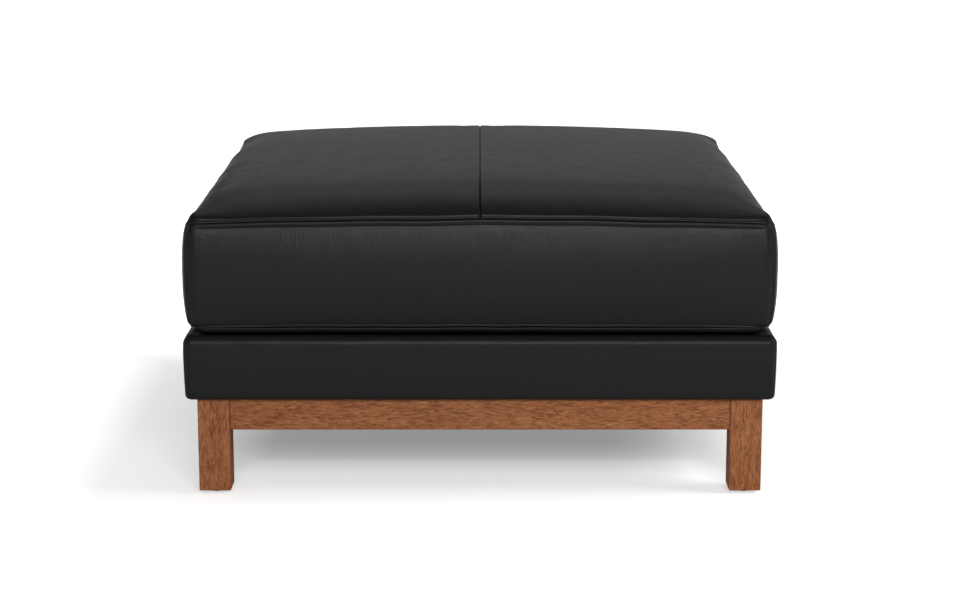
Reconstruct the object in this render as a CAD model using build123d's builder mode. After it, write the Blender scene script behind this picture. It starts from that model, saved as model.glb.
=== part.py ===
from build123d import *
import os

# Square ottoman with a wooden leg frame, an upholstered base and a loose crowned seat cushion.
# Millimetres. The origin is on the floor under the middle, +Z is up and the front faces -Y.

# Overall plan of the upholstered base
base_width = 924
base_depth = 882

# Small fasteners and their holes have flat sides, which keeps the many pieces light
round_sides = 12
glide_sides = 20

# Leg frame
leg_inset = 19.5  # from the cover's face to the legs' outer faces
leg_side = 50
leg_length = 150
leg_edge_radius = 1.6
leg_foot_chamfer = 1.5
apron_height = 51
apron_thickness = 22
apron_setback = 1.5
apron_edge_chamfer = 1.2
tenon_thickness = 10
tenon_height = 35
tenon_length = 20
tenon_clearance = 0.2

# Nail-on glides
glide_thickness = 5
glide_radius = 11
glide_edge_chamfer = 2
glide_socket_depth = 3
nail_radius = 1.6
nail_length = 24
nail_point = 4
nail_tip_radius = 0.3
nail_clearance = 0.05

# Glued and screwed blocks in the leg frame's corners
block_height = 35
block_reach = 106.5
block_gap = 0.3
block_bolt_margin = 16.5  # along an apron, from the bolt's middle to the block's long face
block_screw_depth = 32.5  # wood under each screw's line
screw_radius = 2.2
screw_length = 35
screw_head_radius = 4
screw_head_height = 3
screw_pocket_radius = 4.6
screw_head_depth = 12
screw_clearance = 0.05

# Bolts from the leg frame up into the base frame
bolt_radius = 4
bolt_length = 82
bolt_head_flats = 13
bolt_head_height = 5.3
bolt_clearance = 0.5
washer_radius = 9
washer_thickness = 1.6
nut_barrel_radius = 5
nut_barrel_length = 11
nut_flange_radius = 10
nut_flange_thickness = 1.5
nut_clearance = 0.1

# Upholstered base
base_height = 99.2  # from the underside of the cover to the deck border
dust_cover_thickness = 0.8
cover_wall = 1.8
cover_corner_radius = 20
cover_top_roll = 13
cover_bottom_roll = 8
cover_border_width = 100
cover_return_width = 37
deck_corner_radius = 12
deck_cloth_thickness = 1.2
edge_padding_thickness = 8.2
rail_height = 78
rail_thickness = 22
rail_corner_chamfer = 4
stretcher_height = 55
frame_block_reach = 140
frame_block_height = 40

# Woven elastic webbing over the rails
strip_width = 50
strip_thickness = 1.4
strip_spacing = 148
strip_gap = 0.15
strip_margin = 7  # flat length past each crossing's edge
strip_end_inset = 5
strips_lengthwise = 5
strips_crosswise = 5
insulator_thickness = 1
insulator_inset = 4

# Loose seat cushion
cushion_gap = 0.3  # rest clearance above the deck border
seam_inset = 12  # from the base cover's face to the cushion's top and bottom seams
seam_corner_radius = 18
bottom_tuck = 17.7  # from the flat underside up to the bottom seam
boxing_height = 167.5
boxing_bulge = 9
boxing_corner_turn = 45  # degrees of each corner that a strip goes round
corner_channel_turn = 2  # degrees of that turn taken by the channel at the strips' joint
crown_height = 51.5
panel_wall = 1.8
seam_channel_width = 1.6
seam_channel_depth = 0.9
core_inset = 16
core_corner_radius = 30
core_top_drop = 9
crown_foam_inset = 96
crown_foam_height = 24
crown_foam_bevel = 60
crown_foam_corner_margin = 2  # by which the slab's corner radius passes its bevel

# Shoulders of the crowned top, from the seam inwards, each two arcs through five points: inset
# as a share of the half width there, and rise above the seam as a share of the crown
side_shoulder_shares = [(0, 0), (0.045, 0.44), (0.105, 0.70), (0.155, 0.785), (0.23, 0.85)]
corner_shoulder_shares = [(0, 0), (0.055, 0.25), (0.109, 0.49), (0.17, 0.635), (0.25, 0.735)]
# Height of the diagonal sections' middle, which the side sections cut off
corner_peak_share = 1.09

# Bowed boxing, from the bottom seam to the top seam, upright in the middle for the zip: level as
# a share of its height, and bow as a share of the bulge
boxing_bow_shares = [(0, 0), (0.2, 0.75), (0.4, 1), (0.6, 1), (0.8, 0.75), (1, 0)]

# Contours of the tucked underside, from the bottom seam inwards: inset and drop as shares of
# the tuck
tuck_contour_shares = [(0, 0), (0.7, 0.66), (2.2, 1)]

# Zip along the back of the cushion
zip_slot_end_margin = 32  # from the boxing's corner turns to the slot's ends
zip_slot_height = 13
zip_tape_width = 13
zip_tape_thickness = 0.7
zip_tape_clearance = 0.4
zip_end_overlap = 4
coil_width = 2.5
coil_thickness = 2.4
coil_half_gap = 0.8
slider_length = 14
slider_width = 11
slider_plate = 1.1
slider_clearance = 0.3
slider_flange_width = 1.2
slider_flange_height = 2.2
slider_post_width = 1
slider_post_length = 4
slider_park_margin = 34  # from the slot's end to the closed slider's middle
bridge_width = 1.8
bridge_opening_length = 8
bridge_opening_height = 2.5
bridge_thickness = 0.9
bridge_foot = 1.2
pull_thickness = 1.2
pull_bar = 1.6
pull_width = 7
pull_length = 26
pull_hole_width = 3.4
pull_hole_end = 7.5
pull_corner_radius = 2
wrap_clearance = 0.3
wrap_pocket_clearance = 0.5
wrap_pocket_margin = 1

# One overrun serves every cutting tool that passes a face
overrun = 4

# Levels
leg_bottom = glide_thickness
leg_top = leg_bottom + leg_length
base_bottom = leg_top + dust_cover_thickness
base_top = base_bottom + base_height
rail_bottom = base_bottom + cover_wall
rail_top = rail_bottom + rail_height
weave_level = rail_top + strip_thickness + strip_gap
insulator_bottom = weave_level + strip_gap + strip_thickness
foam_bottom = insulator_bottom + insulator_thickness
foam_top = base_top - cover_wall
apron_bottom = leg_top - apron_height
block_bottom = leg_top - block_height
screw_level = block_bottom + block_height / 2
cushion_bottom_level = base_top + cushion_gap
bottom_seam = cushion_bottom_level + bottom_tuck
top_seam = bottom_seam + boxing_height
zip_level = (bottom_seam + top_seam) / 2

# Plan of the cushion's seams
seam_width = base_width - 2 * seam_inset
seam_depth = base_depth - 2 * seam_inset

# Plan places, measured from the middle
leg_outer_x = base_width / 2 - leg_inset
leg_outer_y = base_depth / 2 - leg_inset
leg_x = leg_outer_x - leg_side / 2
leg_y = leg_outer_y - leg_side / 2
apron_inner_x = leg_outer_x - apron_setback - apron_thickness
apron_inner_y = leg_outer_y - apron_setback - apron_thickness
frame_outer_x = base_width / 2 - cover_wall - edge_padding_thickness
frame_outer_y = base_depth / 2 - cover_wall - edge_padding_thickness
frame_inner_x = frame_outer_x - rail_thickness
frame_inner_y = frame_outer_y - rail_thickness
block_bolt_inset = (block_reach - block_bolt_margin) / 2
block_screw_inset = block_reach - block_screw_depth
bolt_x = apron_inner_x - block_bolt_inset
bolt_y = apron_inner_y - block_bolt_inset
screw_x = apron_inner_x - block_screw_inset
screw_y = apron_inner_y - block_screw_inset
head_seat_x = apron_inner_x - block_screw_depth + screw_head_depth
head_seat_y = apron_inner_y - block_screw_depth + screw_head_depth
screw_bite = screw_length + screw_head_depth - block_screw_depth + screw_clearance

corners = {
    "front_left": (-1, -1),
    "front_right": (1, -1),
    "back_left": (-1, 1),
    "back_right": (1, 1),
}


def save(part, name):
    """Labels a finished piece and writes its file."""
    part.label = name
    export_step(part, f"parts/{name}.step")


def at_corner(part, side_x, side_y):
    """A piece made for the back right corner, mirrored to another corner."""
    if side_x < 0:
        part = mirror(part, about=Plane.YZ)
    if side_y < 0:
        part = mirror(part, about=Plane.XZ)
    return part


def save_at_corners(part, stem):
    """One file for each corner's copy of a piece."""
    for corner, (side_x, side_y) in corners.items():
        save(at_corner(part, side_x, side_y), f"{stem}_{corner}")


def save_corner_set(part, name):
    """All four corners' copies of a fastener in one file."""
    copies = [at_corner(part, side_x, side_y) for side_x, side_y in corners.values()]
    save(Compound(children=copies), name)


# Parts folder
os.makedirs("parts", exist_ok=True)

# Legs, each with two mortises and a nail hole in the foot
mortise_height = tenon_height + 2 * tenon_clearance
mortise_thickness = tenon_thickness + 2 * tenon_clearance
tenon_bottom = apron_bottom + (apron_height - tenon_height) / 2
tenon_x = leg_outer_x - apron_setback - apron_thickness / 2
tenon_y = leg_outer_y - apron_setback - apron_thickness / 2
with BuildPart() as leg:
    with BuildSketch(Plane.XY.offset(leg_bottom)):
        with Locations((leg_x, leg_y)):
            Rectangle(leg_side, leg_side)
    extrude(amount=leg_length)
    fillet(leg.edges().filter_by(Axis.Z), radius=leg_edge_radius)
    chamfer(leg.faces().sort_by(Axis.Z)[0].edges(), length=leg_foot_chamfer)
    mortise_depth = tenon_length + tenon_clearance
    with BuildSketch(Plane.XY.offset(tenon_bottom - tenon_clearance)):
        with Locations((leg_outer_x - leg_side + mortise_depth / 2, tenon_y)):
            Rectangle(mortise_depth, mortise_thickness)
        with Locations((tenon_x, leg_outer_y - leg_side + mortise_depth / 2)):
            Rectangle(mortise_thickness, mortise_depth)
    extrude(amount=mortise_height, mode=Mode.SUBTRACT)
    with BuildSketch(Plane.XY.offset(leg_bottom)):
        with Locations((leg_x, leg_y)):
            RegularPolygon(nail_radius + nail_clearance, round_sides)
    extrude(amount=nail_length, mode=Mode.SUBTRACT)
save_at_corners(leg.part, "leg")

# Aprons, tenoned into the legs
with BuildPart() as apron_back:
    with BuildSketch(Plane.XY.offset(apron_bottom)):
        with Locations((0, tenon_y)):
            Rectangle(2 * (leg_outer_x - leg_side), apron_thickness)
    extrude(amount=apron_height)
    lower_edges = apron_back.edges().filter_by(Axis.X).group_by(Axis.Z)[0]
    chamfer(lower_edges, length=apron_edge_chamfer)
    with BuildSketch(Plane.XY.offset(tenon_bottom)):
        with Locations((0, tenon_y)):
            Rectangle(2 * (leg_outer_x - leg_side + tenon_length), tenon_thickness)
    extrude(amount=tenon_height)
    with BuildSketch(Plane.XZ.offset(-apron_inner_y)):
        with Locations((screw_x, screw_level), (-screw_x, screw_level)):
            RegularPolygon(screw_radius + screw_clearance, round_sides)
    extrude(amount=-screw_bite, mode=Mode.SUBTRACT)
save(apron_back.part, "apron_back")
save(mirror(apron_back.part, about=Plane.XZ), "apron_front")

with BuildPart() as apron_right:
    with BuildSketch(Plane.XY.offset(apron_bottom)):
        with Locations((tenon_x, 0)):
            Rectangle(apron_thickness, 2 * (leg_outer_y - leg_side))
    extrude(amount=apron_height)
    lower_edges = apron_right.edges().filter_by(Axis.Y).group_by(Axis.Z)[0]
    chamfer(lower_edges, length=apron_edge_chamfer)
    with BuildSketch(Plane.XY.offset(tenon_bottom)):
        with Locations((tenon_x, 0)):
            Rectangle(tenon_thickness, 2 * (leg_outer_y - leg_side + tenon_length))
    extrude(amount=tenon_height)
    with BuildSketch(Plane.YZ.offset(apron_inner_x)):
        with Locations((screw_y, screw_level), (-screw_y, screw_level)):
            RegularPolygon(screw_radius + screw_clearance, round_sides)
    extrude(amount=screw_bite, mode=Mode.SUBTRACT)
save(apron_right.part, "apron_right")
save(mirror(apron_right.part, about=Plane.YZ), "apron_left")

# Corner blocks of the leg frame, notched round the leg
notch_x = leg_outer_x - leg_side - block_gap
notch_y = leg_outer_y - leg_side - block_gap
with BuildPart() as corner_block:
    with BuildSketch(Plane.XY.offset(block_bottom)):
        with BuildLine():
            Polyline(
                (apron_inner_x, notch_y),
                (apron_inner_x, apron_inner_y - block_reach),
                (apron_inner_x - block_reach, apron_inner_y),
                (notch_x, apron_inner_y),
                (notch_x, notch_y),
                close=True,
            )
        make_face()
    extrude(amount=block_height)
    with BuildSketch(Plane.XY.offset(block_bottom)):
        with Locations((bolt_x, bolt_y)):
            RegularPolygon(bolt_radius + bolt_clearance, round_sides)
    extrude(amount=block_height, mode=Mode.SUBTRACT)
    # Screw holes along X into the side apron and along Y into the end apron
    with BuildSketch(Plane.YZ.offset(apron_inner_x)):
        with Locations((screw_y, screw_level)):
            RegularPolygon(screw_radius + screw_clearance, round_sides)
    extrude(amount=-block_reach, mode=Mode.SUBTRACT)
    with BuildSketch(Plane.YZ.offset(head_seat_x)):
        with Locations((screw_y, screw_level)):
            RegularPolygon(screw_pocket_radius, round_sides)
    extrude(amount=-block_reach, mode=Mode.SUBTRACT)
    with BuildSketch(Plane.XZ.offset(-apron_inner_y)):
        with Locations((screw_x, screw_level)):
            RegularPolygon(screw_radius + screw_clearance, round_sides)
    extrude(amount=block_reach, mode=Mode.SUBTRACT)
    with BuildSketch(Plane.XZ.offset(-head_seat_y)):
        with Locations((screw_x, screw_level)):
            RegularPolygon(screw_pocket_radius, round_sides)
    extrude(amount=block_reach, mode=Mode.SUBTRACT)
save_at_corners(corner_block.part, "corner_block")

# Screws through the corner blocks, one into each apron
with BuildPart() as corner_screws:
    with BuildSketch(Plane.YZ.offset(head_seat_x)):
        with Locations((screw_y, screw_level)):
            RegularPolygon(screw_radius, round_sides)
    extrude(amount=screw_length)
    with BuildSketch(Plane.YZ.offset(head_seat_x)):
        with Locations((screw_y, screw_level)):
            RegularPolygon(screw_head_radius, round_sides)
    extrude(amount=-screw_head_height)
    with BuildSketch(Plane.XZ.offset(-head_seat_y)):
        with Locations((screw_x, screw_level)):
            RegularPolygon(screw_radius, round_sides)
    extrude(amount=-screw_length)
    with BuildSketch(Plane.XZ.offset(-head_seat_y)):
        with Locations((screw_x, screw_level)):
            RegularPolygon(screw_head_radius, round_sides)
    extrude(amount=screw_head_height)
save_corner_set(corner_screws.part, "corner_block_screws")

# Glides and the nails that hold them
with BuildPart() as glide:
    with BuildSketch():
        RegularPolygon(glide_radius, glide_sides)
    extrude(amount=glide_thickness)
    chamfer(glide.faces().sort_by(Axis.Z)[0].edges(), length=glide_edge_chamfer)
    with BuildSketch(Plane.XY.offset(glide_thickness)):
        RegularPolygon(nail_radius + nail_clearance, round_sides)
    extrude(amount=-glide_socket_depth, mode=Mode.SUBTRACT)
save_at_corners(glide.part.moved(Location((leg_x, leg_y, 0))), "glide")

nail_bottom = glide_thickness - glide_socket_depth
nail_tip = leg_bottom + nail_length - nail_clearance
with BuildPart() as nail:
    with BuildSketch(Plane.XY.offset(nail_bottom)):
        RegularPolygon(nail_radius, round_sides)
    extrude(amount=nail_tip - nail_point - nail_bottom)
    with BuildSketch(Plane.XY.offset(nail_tip - nail_point)):
        RegularPolygon(nail_radius, round_sides)
    with BuildSketch(Plane.XY.offset(nail_tip)):
        RegularPolygon(nail_tip_radius, round_sides)
    loft(ruled=True)
save_corner_set(nail.part.moved(Location((leg_x, leg_y, 0))), "glide_nails")

# Bolts, washers and tee nuts that join the leg frame to the base frame
with BuildPart() as mounting_bolt:
    with BuildSketch(Plane.XY.offset(block_bottom - washer_thickness)):
        with Locations((bolt_x, bolt_y)):
            RegularPolygon(bolt_radius, round_sides)
    extrude(amount=bolt_length)
    with BuildSketch(Plane.XY.offset(block_bottom - washer_thickness)):
        with Locations((bolt_x, bolt_y)):
            RegularPolygon(bolt_head_flats / 2, 6, major_radius=False)
    extrude(amount=-bolt_head_height)
save_corner_set(mounting_bolt.part, "mounting_bolts")

with BuildPart() as washer:
    with BuildSketch(Plane.XY.offset(block_bottom - washer_thickness)):
        with Locations((bolt_x, bolt_y)):
            RegularPolygon(washer_radius, round_sides)
            RegularPolygon(bolt_radius + nut_clearance, round_sides, mode=Mode.SUBTRACT)
    extrude(amount=washer_thickness)
save_corner_set(washer.part, "bolt_washers")

nut_seat = rail_bottom + frame_block_height
with BuildPart() as tee_nut:
    with BuildSketch(Plane.XY.offset(nut_seat)):
        with Locations((bolt_x, bolt_y)):
            RegularPolygon(nut_flange_radius, round_sides)
    extrude(amount=nut_flange_thickness)
    with BuildSketch(Plane.XY.offset(nut_seat)):
        with Locations((bolt_x, bolt_y)):
            RegularPolygon(nut_barrel_radius, round_sides)
    extrude(amount=-nut_barrel_length)
    with BuildSketch(Plane.XY.offset(nut_seat - nut_barrel_length)):
        with Locations((bolt_x, bolt_y)):
            RegularPolygon(bolt_radius + nut_clearance, round_sides)
    extrude(amount=nut_barrel_length + nut_flange_thickness, mode=Mode.SUBTRACT)
save_corner_set(tee_nut.part, "tee_nuts")

# Base frame: rails, a middle stretcher and corner blocks
rail_y = frame_outer_y - rail_thickness / 2
with BuildPart() as rail_back:
    with BuildSketch(Plane.XY.offset(rail_bottom)):
        with Locations((0, rail_y)):
            Rectangle(2 * frame_outer_x, rail_thickness)
    extrude(amount=rail_height)
    corner_edges = rail_back.edges().filter_by(Axis.Z).group_by(Axis.Y)[-1]
    chamfer(corner_edges, length=rail_corner_chamfer)
save(rail_back.part, "frame_rail_back")
save(mirror(rail_back.part, about=Plane.XZ), "frame_rail_front")

rail_x = frame_outer_x - rail_thickness / 2
with BuildPart() as rail_right:
    with BuildSketch(Plane.XY.offset(rail_bottom)):
        with Locations((rail_x, 0)):
            Rectangle(rail_thickness, 2 * frame_inner_y)
    extrude(amount=rail_height)
save(rail_right.part, "frame_rail_right")
save(mirror(rail_right.part, about=Plane.YZ), "frame_rail_left")

with BuildPart() as stretcher:
    with BuildSketch(Plane.XY.offset(rail_bottom)):
        Rectangle(rail_thickness, 2 * frame_inner_y)
    extrude(amount=stretcher_height)
save(stretcher.part, "frame_stretcher")

with BuildPart() as frame_block:
    with BuildSketch(Plane.XY.offset(rail_bottom)):
        with BuildLine():
            Polyline(
                (frame_inner_x, frame_inner_y),
                (frame_inner_x - frame_block_reach, frame_inner_y),
                (frame_inner_x, frame_inner_y - frame_block_reach),
                close=True,
            )
        make_face()
        with Locations((bolt_x, bolt_y)):
            RegularPolygon(bolt_radius + bolt_clearance, round_sides, mode=Mode.SUBTRACT)
    extrude(amount=frame_block_height)
    with BuildSketch(Plane.XY.offset(nut_seat)):
        with Locations((bolt_x, bolt_y)):
            RegularPolygon(nut_barrel_radius + nut_clearance, round_sides)
    extrude(amount=-nut_barrel_length, mode=Mode.SUBTRACT)
save_at_corners(frame_block.part, "frame_block")


def strip_outline(half_run, crossings, first_is_high):
    """Side view of one webbing strip, passing over and under the strips that cross it."""
    flat = strip_width / 2 + strip_margin
    lower = [(-half_run, rail_top)]
    for number in range(crossings):
        middle = (number - (crossings - 1) / 2) * strip_spacing
        high = (number % 2 == 0) == first_is_high
        level = weave_level if high else rail_top
        lower += [(middle - flat, level), (middle + flat, level)]
    lower += [(half_run, rail_top)]
    upper = [(run, level + strip_thickness) for run, level in lower]
    return lower + upper[::-1]


# Webbing: each strip is tacked to the rails' tops and woven through the other set
with BuildPart() as webbing_lengthwise:
    for number in range(strips_lengthwise):
        strip_y = (number - (strips_lengthwise - 1) / 2) * strip_spacing
        outline = strip_outline(frame_outer_x - strip_end_inset, strips_crosswise, number % 2 == 0)
        with BuildSketch(Plane.XZ.offset(-strip_y)):
            with BuildLine():
                Polyline(*outline, close=True)
            make_face()
        extrude(amount=strip_width / 2, both=True)
save(webbing_lengthwise.part, "webbing_lengthwise")

with BuildPart() as webbing_crosswise:
    for number in range(strips_crosswise):
        strip_x = (number - (strips_crosswise - 1) / 2) * strip_spacing
        outline = strip_outline(frame_outer_y - strip_end_inset, strips_lengthwise, number % 2 == 1)
        with BuildSketch(Plane.YZ.offset(strip_x)):
            with BuildLine():
                Polyline(*outline, close=True)
            make_face()
        extrude(amount=strip_width / 2, both=True)
save(webbing_crosswise.part, "webbing_crosswise")

with BuildPart() as insulator_cloth:
    with BuildSketch(Plane.XY.offset(insulator_bottom)):
        Rectangle(2 * (frame_outer_x - insulator_inset), 2 * (frame_outer_y - insulator_inset))
    extrude(amount=insulator_thickness)
save(insulator_cloth.part, "insulator_cloth")


def base_box(inset):
    """The upholstered base's rounded box, drawn in by inset on every side."""
    with BuildPart() as box:
        with BuildSketch(Plane.XY.offset(base_bottom + inset)):
            RectangleRounded(
                base_width - 2 * inset, base_depth - 2 * inset, cover_corner_radius - inset
            )
        extrude(amount=base_top - base_bottom - 2 * inset)
        fillet(box.edges().group_by(Axis.Z)[-1], radius=cover_top_roll - inset)
        fillet(box.edges().group_by(Axis.Z)[0], radius=cover_bottom_roll - inset)
    return box.part


def mitred_wedge(half_x, half_y, out, inward, height):
    """A prism over the panel behind +Y, its ends on the mitres through the corners' centres."""
    with BuildPart() as wedge:
        with BuildSketch():
            with BuildLine():
                Polyline(
                    (half_x + out, half_y + out),
                    (-half_x - out, half_y + out),
                    (inward - half_x, half_y - inward),
                    (half_x - inward, half_y - inward),
                    close=True,
                )
            make_face()
        extrude(amount=height)
    return wedge.part


# Leather cover of the base, one panel a side, each with its share of the deck border on top and
# of the return under the rails, mitred at the corners
cover_inner = base_box(cover_wall)
with BuildPart() as cover_shell:
    add(base_box(0))
    add(cover_inner, mode=Mode.SUBTRACT)
    with BuildSketch(Plane.XY.offset(foam_top - overrun)):
        RectangleRounded(
            base_width - 2 * cover_border_width,
            base_depth - 2 * cover_border_width,
            deck_corner_radius,
        )
    extrude(amount=cover_wall + 2 * overrun, mode=Mode.SUBTRACT)
    with BuildSketch(Plane.XY.offset(base_bottom - overrun)):
        RectangleRounded(
            base_width - 2 * cover_return_width,
            base_depth - 2 * cover_return_width,
            deck_corner_radius,
        )
    extrude(amount=cover_wall + 2 * overrun, mode=Mode.SUBTRACT)

cover_corner_x = base_width / 2 - cover_corner_radius
cover_corner_y = base_depth / 2 - cover_corner_radius
cover_out = cover_corner_radius + overrun
with BuildPart() as cover_back:
    add(cover_shell.part)
    add(
        mitred_wedge(cover_corner_x, cover_corner_y, cover_out, cover_border_width, base_top),
        mode=Mode.INTERSECT,
    )
save(cover_back.part, "base_cover_back")
save(mirror(cover_back.part, about=Plane.XZ), "base_cover_front")

side_wedge = mitred_wedge(
    cover_corner_y, cover_corner_x, cover_out, cover_border_width, base_top
).rotate(Axis.Z, -90)
with BuildPart() as cover_right:
    add(cover_shell.part)
    add(side_wedge, mode=Mode.INTERSECT)
save(cover_right.part, "base_cover_right")
save(mirror(cover_right.part, about=Plane.YZ), "base_cover_left")

# Padding round the rails, foam over the deck, the deck cloth and the dust cover
with BuildPart() as edge_padding:
    add(cover_inner)
    split(bisect_by=Plane.XY.offset(foam_bottom), keep=Keep.BOTTOM)
    with BuildSketch(Plane.XY.offset(rail_bottom)):
        Rectangle(2 * frame_outer_x, 2 * frame_outer_y)
    extrude(amount=foam_bottom - rail_bottom, mode=Mode.SUBTRACT)
save(edge_padding.part, "edge_padding")

with BuildPart() as deck_foam:
    add(cover_inner)
    split(bisect_by=Plane.XY.offset(foam_bottom), keep=Keep.TOP)
save(deck_foam.part, "deck_foam")

with BuildPart() as deck_cloth:
    with BuildSketch(Plane.XY.offset(foam_top)):
        RectangleRounded(
            base_width - 2 * cover_border_width,
            base_depth - 2 * cover_border_width,
            deck_corner_radius,
        )
    extrude(amount=deck_cloth_thickness)
save(deck_cloth.part, "deck_cloth")

with BuildPart() as dust_cover:
    with BuildSketch(Plane.XY.offset(leg_top)):
        Rectangle(2 * leg_outer_x, 2 * leg_outer_y)
        with GridLocations(2 * bolt_x, 2 * bolt_y, 2, 2):
            RegularPolygon(bolt_radius + bolt_clearance, round_sides, mode=Mode.SUBTRACT)
    extrude(amount=dust_cover_thickness)
save(dust_cover.part, "dust_cover")


def stacked(outlines):
    """A solid through level outlines, each a level, a width, a depth and a corner radius."""
    with BuildPart() as form:
        for level, width, depth, corner in outlines:
            with BuildSketch(Plane.XY.offset(level)):
                RectangleRounded(width, depth, corner)
        loft(ruled=True)
    return form.part


def crown_slab(along, half_run, seam_level, shoulder_shares, peak):
    """A long body under the crown's section, which lies in the upright plane through along."""
    across = (along[1], -along[0], 0)
    right = [
        (half_run * (1 - inset_share), rise_share * crown_height)
        for inset_share, rise_share in shoulder_shares
    ]
    left = [(-run, rise) for run, rise in right]
    with BuildPart() as slab:
        with BuildSketch(Plane((0, 0, seam_level), x_dir=along, z_dir=across)):
            with BuildLine():
                Polyline(left[0], (-half_run, -overrun), (half_run, -overrun), right[0])
                ThreePointArc(*right[0:3])
                ThreePointArc(*right[2:5])
                ThreePointArc(right[4], (0, peak), left[4])
                ThreePointArc(*left[2:5])
                ThreePointArc(*left[0:3])
            make_face()
        extrude(amount=seam_width, both=True)
    return slab.part


def crown_form(inset, drop):
    """The crowned top over the seam's outline, drawn in by inset and lowered by drop."""
    half_x = seam_width / 2 - inset
    half_y = seam_depth / 2 - inset
    corner = seam_corner_radius - inset
    reach = ((half_x - corner) ** 2 + (half_y - corner) ** 2) ** (1 / 2) + corner
    seam_level = top_seam - drop
    corner_peak = crown_height * corner_peak_share
    side_x = crown_slab((1, 0, 0), half_x, seam_level, side_shoulder_shares, crown_height)
    side_y = crown_slab((0, 1, 0), half_y, seam_level, side_shoulder_shares, crown_height)
    diagonal = (half_x, half_y, 0)
    corner_slab = crown_slab(diagonal, reach, seam_level, corner_shoulder_shares, corner_peak)
    with BuildPart() as crown:
        # One quarter of the plan, mirrored to the other three
        with BuildSketch(Plane.XY.offset(seam_level)):
            RectangleRounded(2 * half_x, 2 * half_y, corner)
            Rectangle(half_x, half_y, align=(Align.MIN, Align.MIN), mode=Mode.INTERSECT)
        extrude(amount=crown_height)
        add(side_x, mode=Mode.INTERSECT)
        add(side_y, mode=Mode.INTERSECT)
        add(corner_slab, mode=Mode.INTERSECT)
        mirror(about=Plane.YZ)
        mirror(about=Plane.XZ)
    return crown.part


def boxing_fill(inset):
    """The space inside the bowed boxing, drawn in by inset."""
    outlines = []
    for level_share, bow_share in boxing_bow_shares:
        bow = bow_share * boxing_bulge - inset
        outlines.append(
            (
                bottom_seam + level_share * boxing_height,
                seam_width + 2 * bow,
                seam_depth + 2 * bow,
                seam_corner_radius + bow,
            )
        )
    return stacked(outlines)


def tuck_form(inset, lift):
    """The underside, rolled in from the bottom seam to its flat, drawn in and lifted."""
    outlines = []
    for inset_share, drop_share in tuck_contour_shares[::-1]:
        roll = inset_share * bottom_tuck
        outlines.append(
            (
                min(bottom_seam, bottom_seam - drop_share * bottom_tuck + lift),
                seam_width - 2 * (roll + inset),
                seam_depth - 2 * (roll + inset),
                seam_corner_radius + roll - inset,
            )
        )
    return stacked(outlines)


def seam_channel(level):
    """A ring that cuts the drawn-in channel along a seam at the given level."""
    with BuildPart() as ring:
        with BuildSketch(Plane.XY.offset(level - seam_channel_width / 2)):
            Rectangle(seam_width + 2 * overrun, seam_depth + 2 * overrun)
            RectangleRounded(
                seam_width - 2 * seam_channel_depth,
                seam_depth - 2 * seam_channel_depth,
                seam_corner_radius - seam_channel_depth,
                mode=Mode.SUBTRACT,
            )
        extrude(amount=seam_channel_width)
    return ring.part


def strip_section(run_end, foot):
    """A boxing strip's bowed section from the points at its foot, which its head mirrors."""
    head = [(run, bottom_seam + top_seam - level) for run, level in foot[::-1]]
    between = boxing_bow_shares[1:-1]
    levels = [bottom_seam + level_share * boxing_height for level_share, bow_share in between]
    bows = [bow_share * boxing_bulge for level_share, bow_share in between]
    outer = [(foot[-1][0] + bow, level) for bow, level in zip(bows, levels)]
    inner = [(foot[0][0] + bow, level) for bow, level in zip(bows, levels)]
    with BuildSketch(Plane.YZ.offset(run_end)) as section:
        with BuildLine():
            Polyline(*foot, *outer, *head, *inner[::-1], close=True)
        make_face()
    return section.sketch


def boxing_strip(half_run, seam_face):
    """A bowed strip behind +Y, straight between the corners and turned half round each of them."""
    lip = seam_face - seam_channel_depth
    low = bottom_seam + seam_channel_width / 2
    channel_foot = [(seam_face - panel_wall, bottom_seam), (lip, bottom_seam)]
    full_foot = channel_foot + [(lip, low), (seam_face, low)]
    full_turn = boxing_corner_turn - corner_channel_turn
    with BuildPart() as strip:
        for run_end in (half_run, -half_run):
            turn = Axis((run_end, seam_face - seam_corner_radius, 0), (0, 0, -run_end))
            section = strip_section(run_end, full_foot)
            revolve(section, axis=turn, revolution_arc=full_turn)
            if run_end > 0:
                extrude(section, amount=-2 * half_run)
            channel = strip_section(run_end, channel_foot).rotate(turn, full_turn)
            revolve(channel, axis=turn, revolution_arc=corner_channel_turn)
    return strip.part


# Crowned top in two halves, with a channel along the seam between them
top_channel = seam_channel(top_seam)
with BuildPart() as middle_channel:
    with BuildSketch(Plane.XY.offset(top_seam)):
        Rectangle(seam_channel_width, seam_depth + 2 * overrun)
    extrude(amount=crown_height + overrun)
    add(crown_form(seam_channel_depth, seam_channel_depth), mode=Mode.SUBTRACT)
with BuildPart() as cushion_top_right:
    add(crown_form(0, 0))
    add(crown_form(panel_wall, panel_wall), mode=Mode.SUBTRACT)
    split(bisect_by=Plane.YZ, keep=Keep.TOP)
    add(middle_channel.part, mode=Mode.SUBTRACT)
    add(top_channel, mode=Mode.SUBTRACT)
save(cushion_top_right.part, "cushion_top_right")
save(mirror(cushion_top_right.part, about=Plane.YZ), "cushion_top_left")

# Boxing strips, joined at the corners
bottom_channel = seam_channel(bottom_seam)
boxing_run_x = seam_width / 2 - seam_corner_radius
boxing_run_y = seam_depth / 2 - seam_corner_radius
boxing_back = boxing_strip(boxing_run_x, seam_depth / 2)
save(mirror(boxing_back, about=Plane.XZ), "boxing_front")
boxing_right = boxing_strip(boxing_run_y, seam_width / 2).rotate(Axis.Z, -90)
save(boxing_right, "boxing_right")
save(mirror(boxing_right, about=Plane.YZ), "boxing_left")

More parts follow.
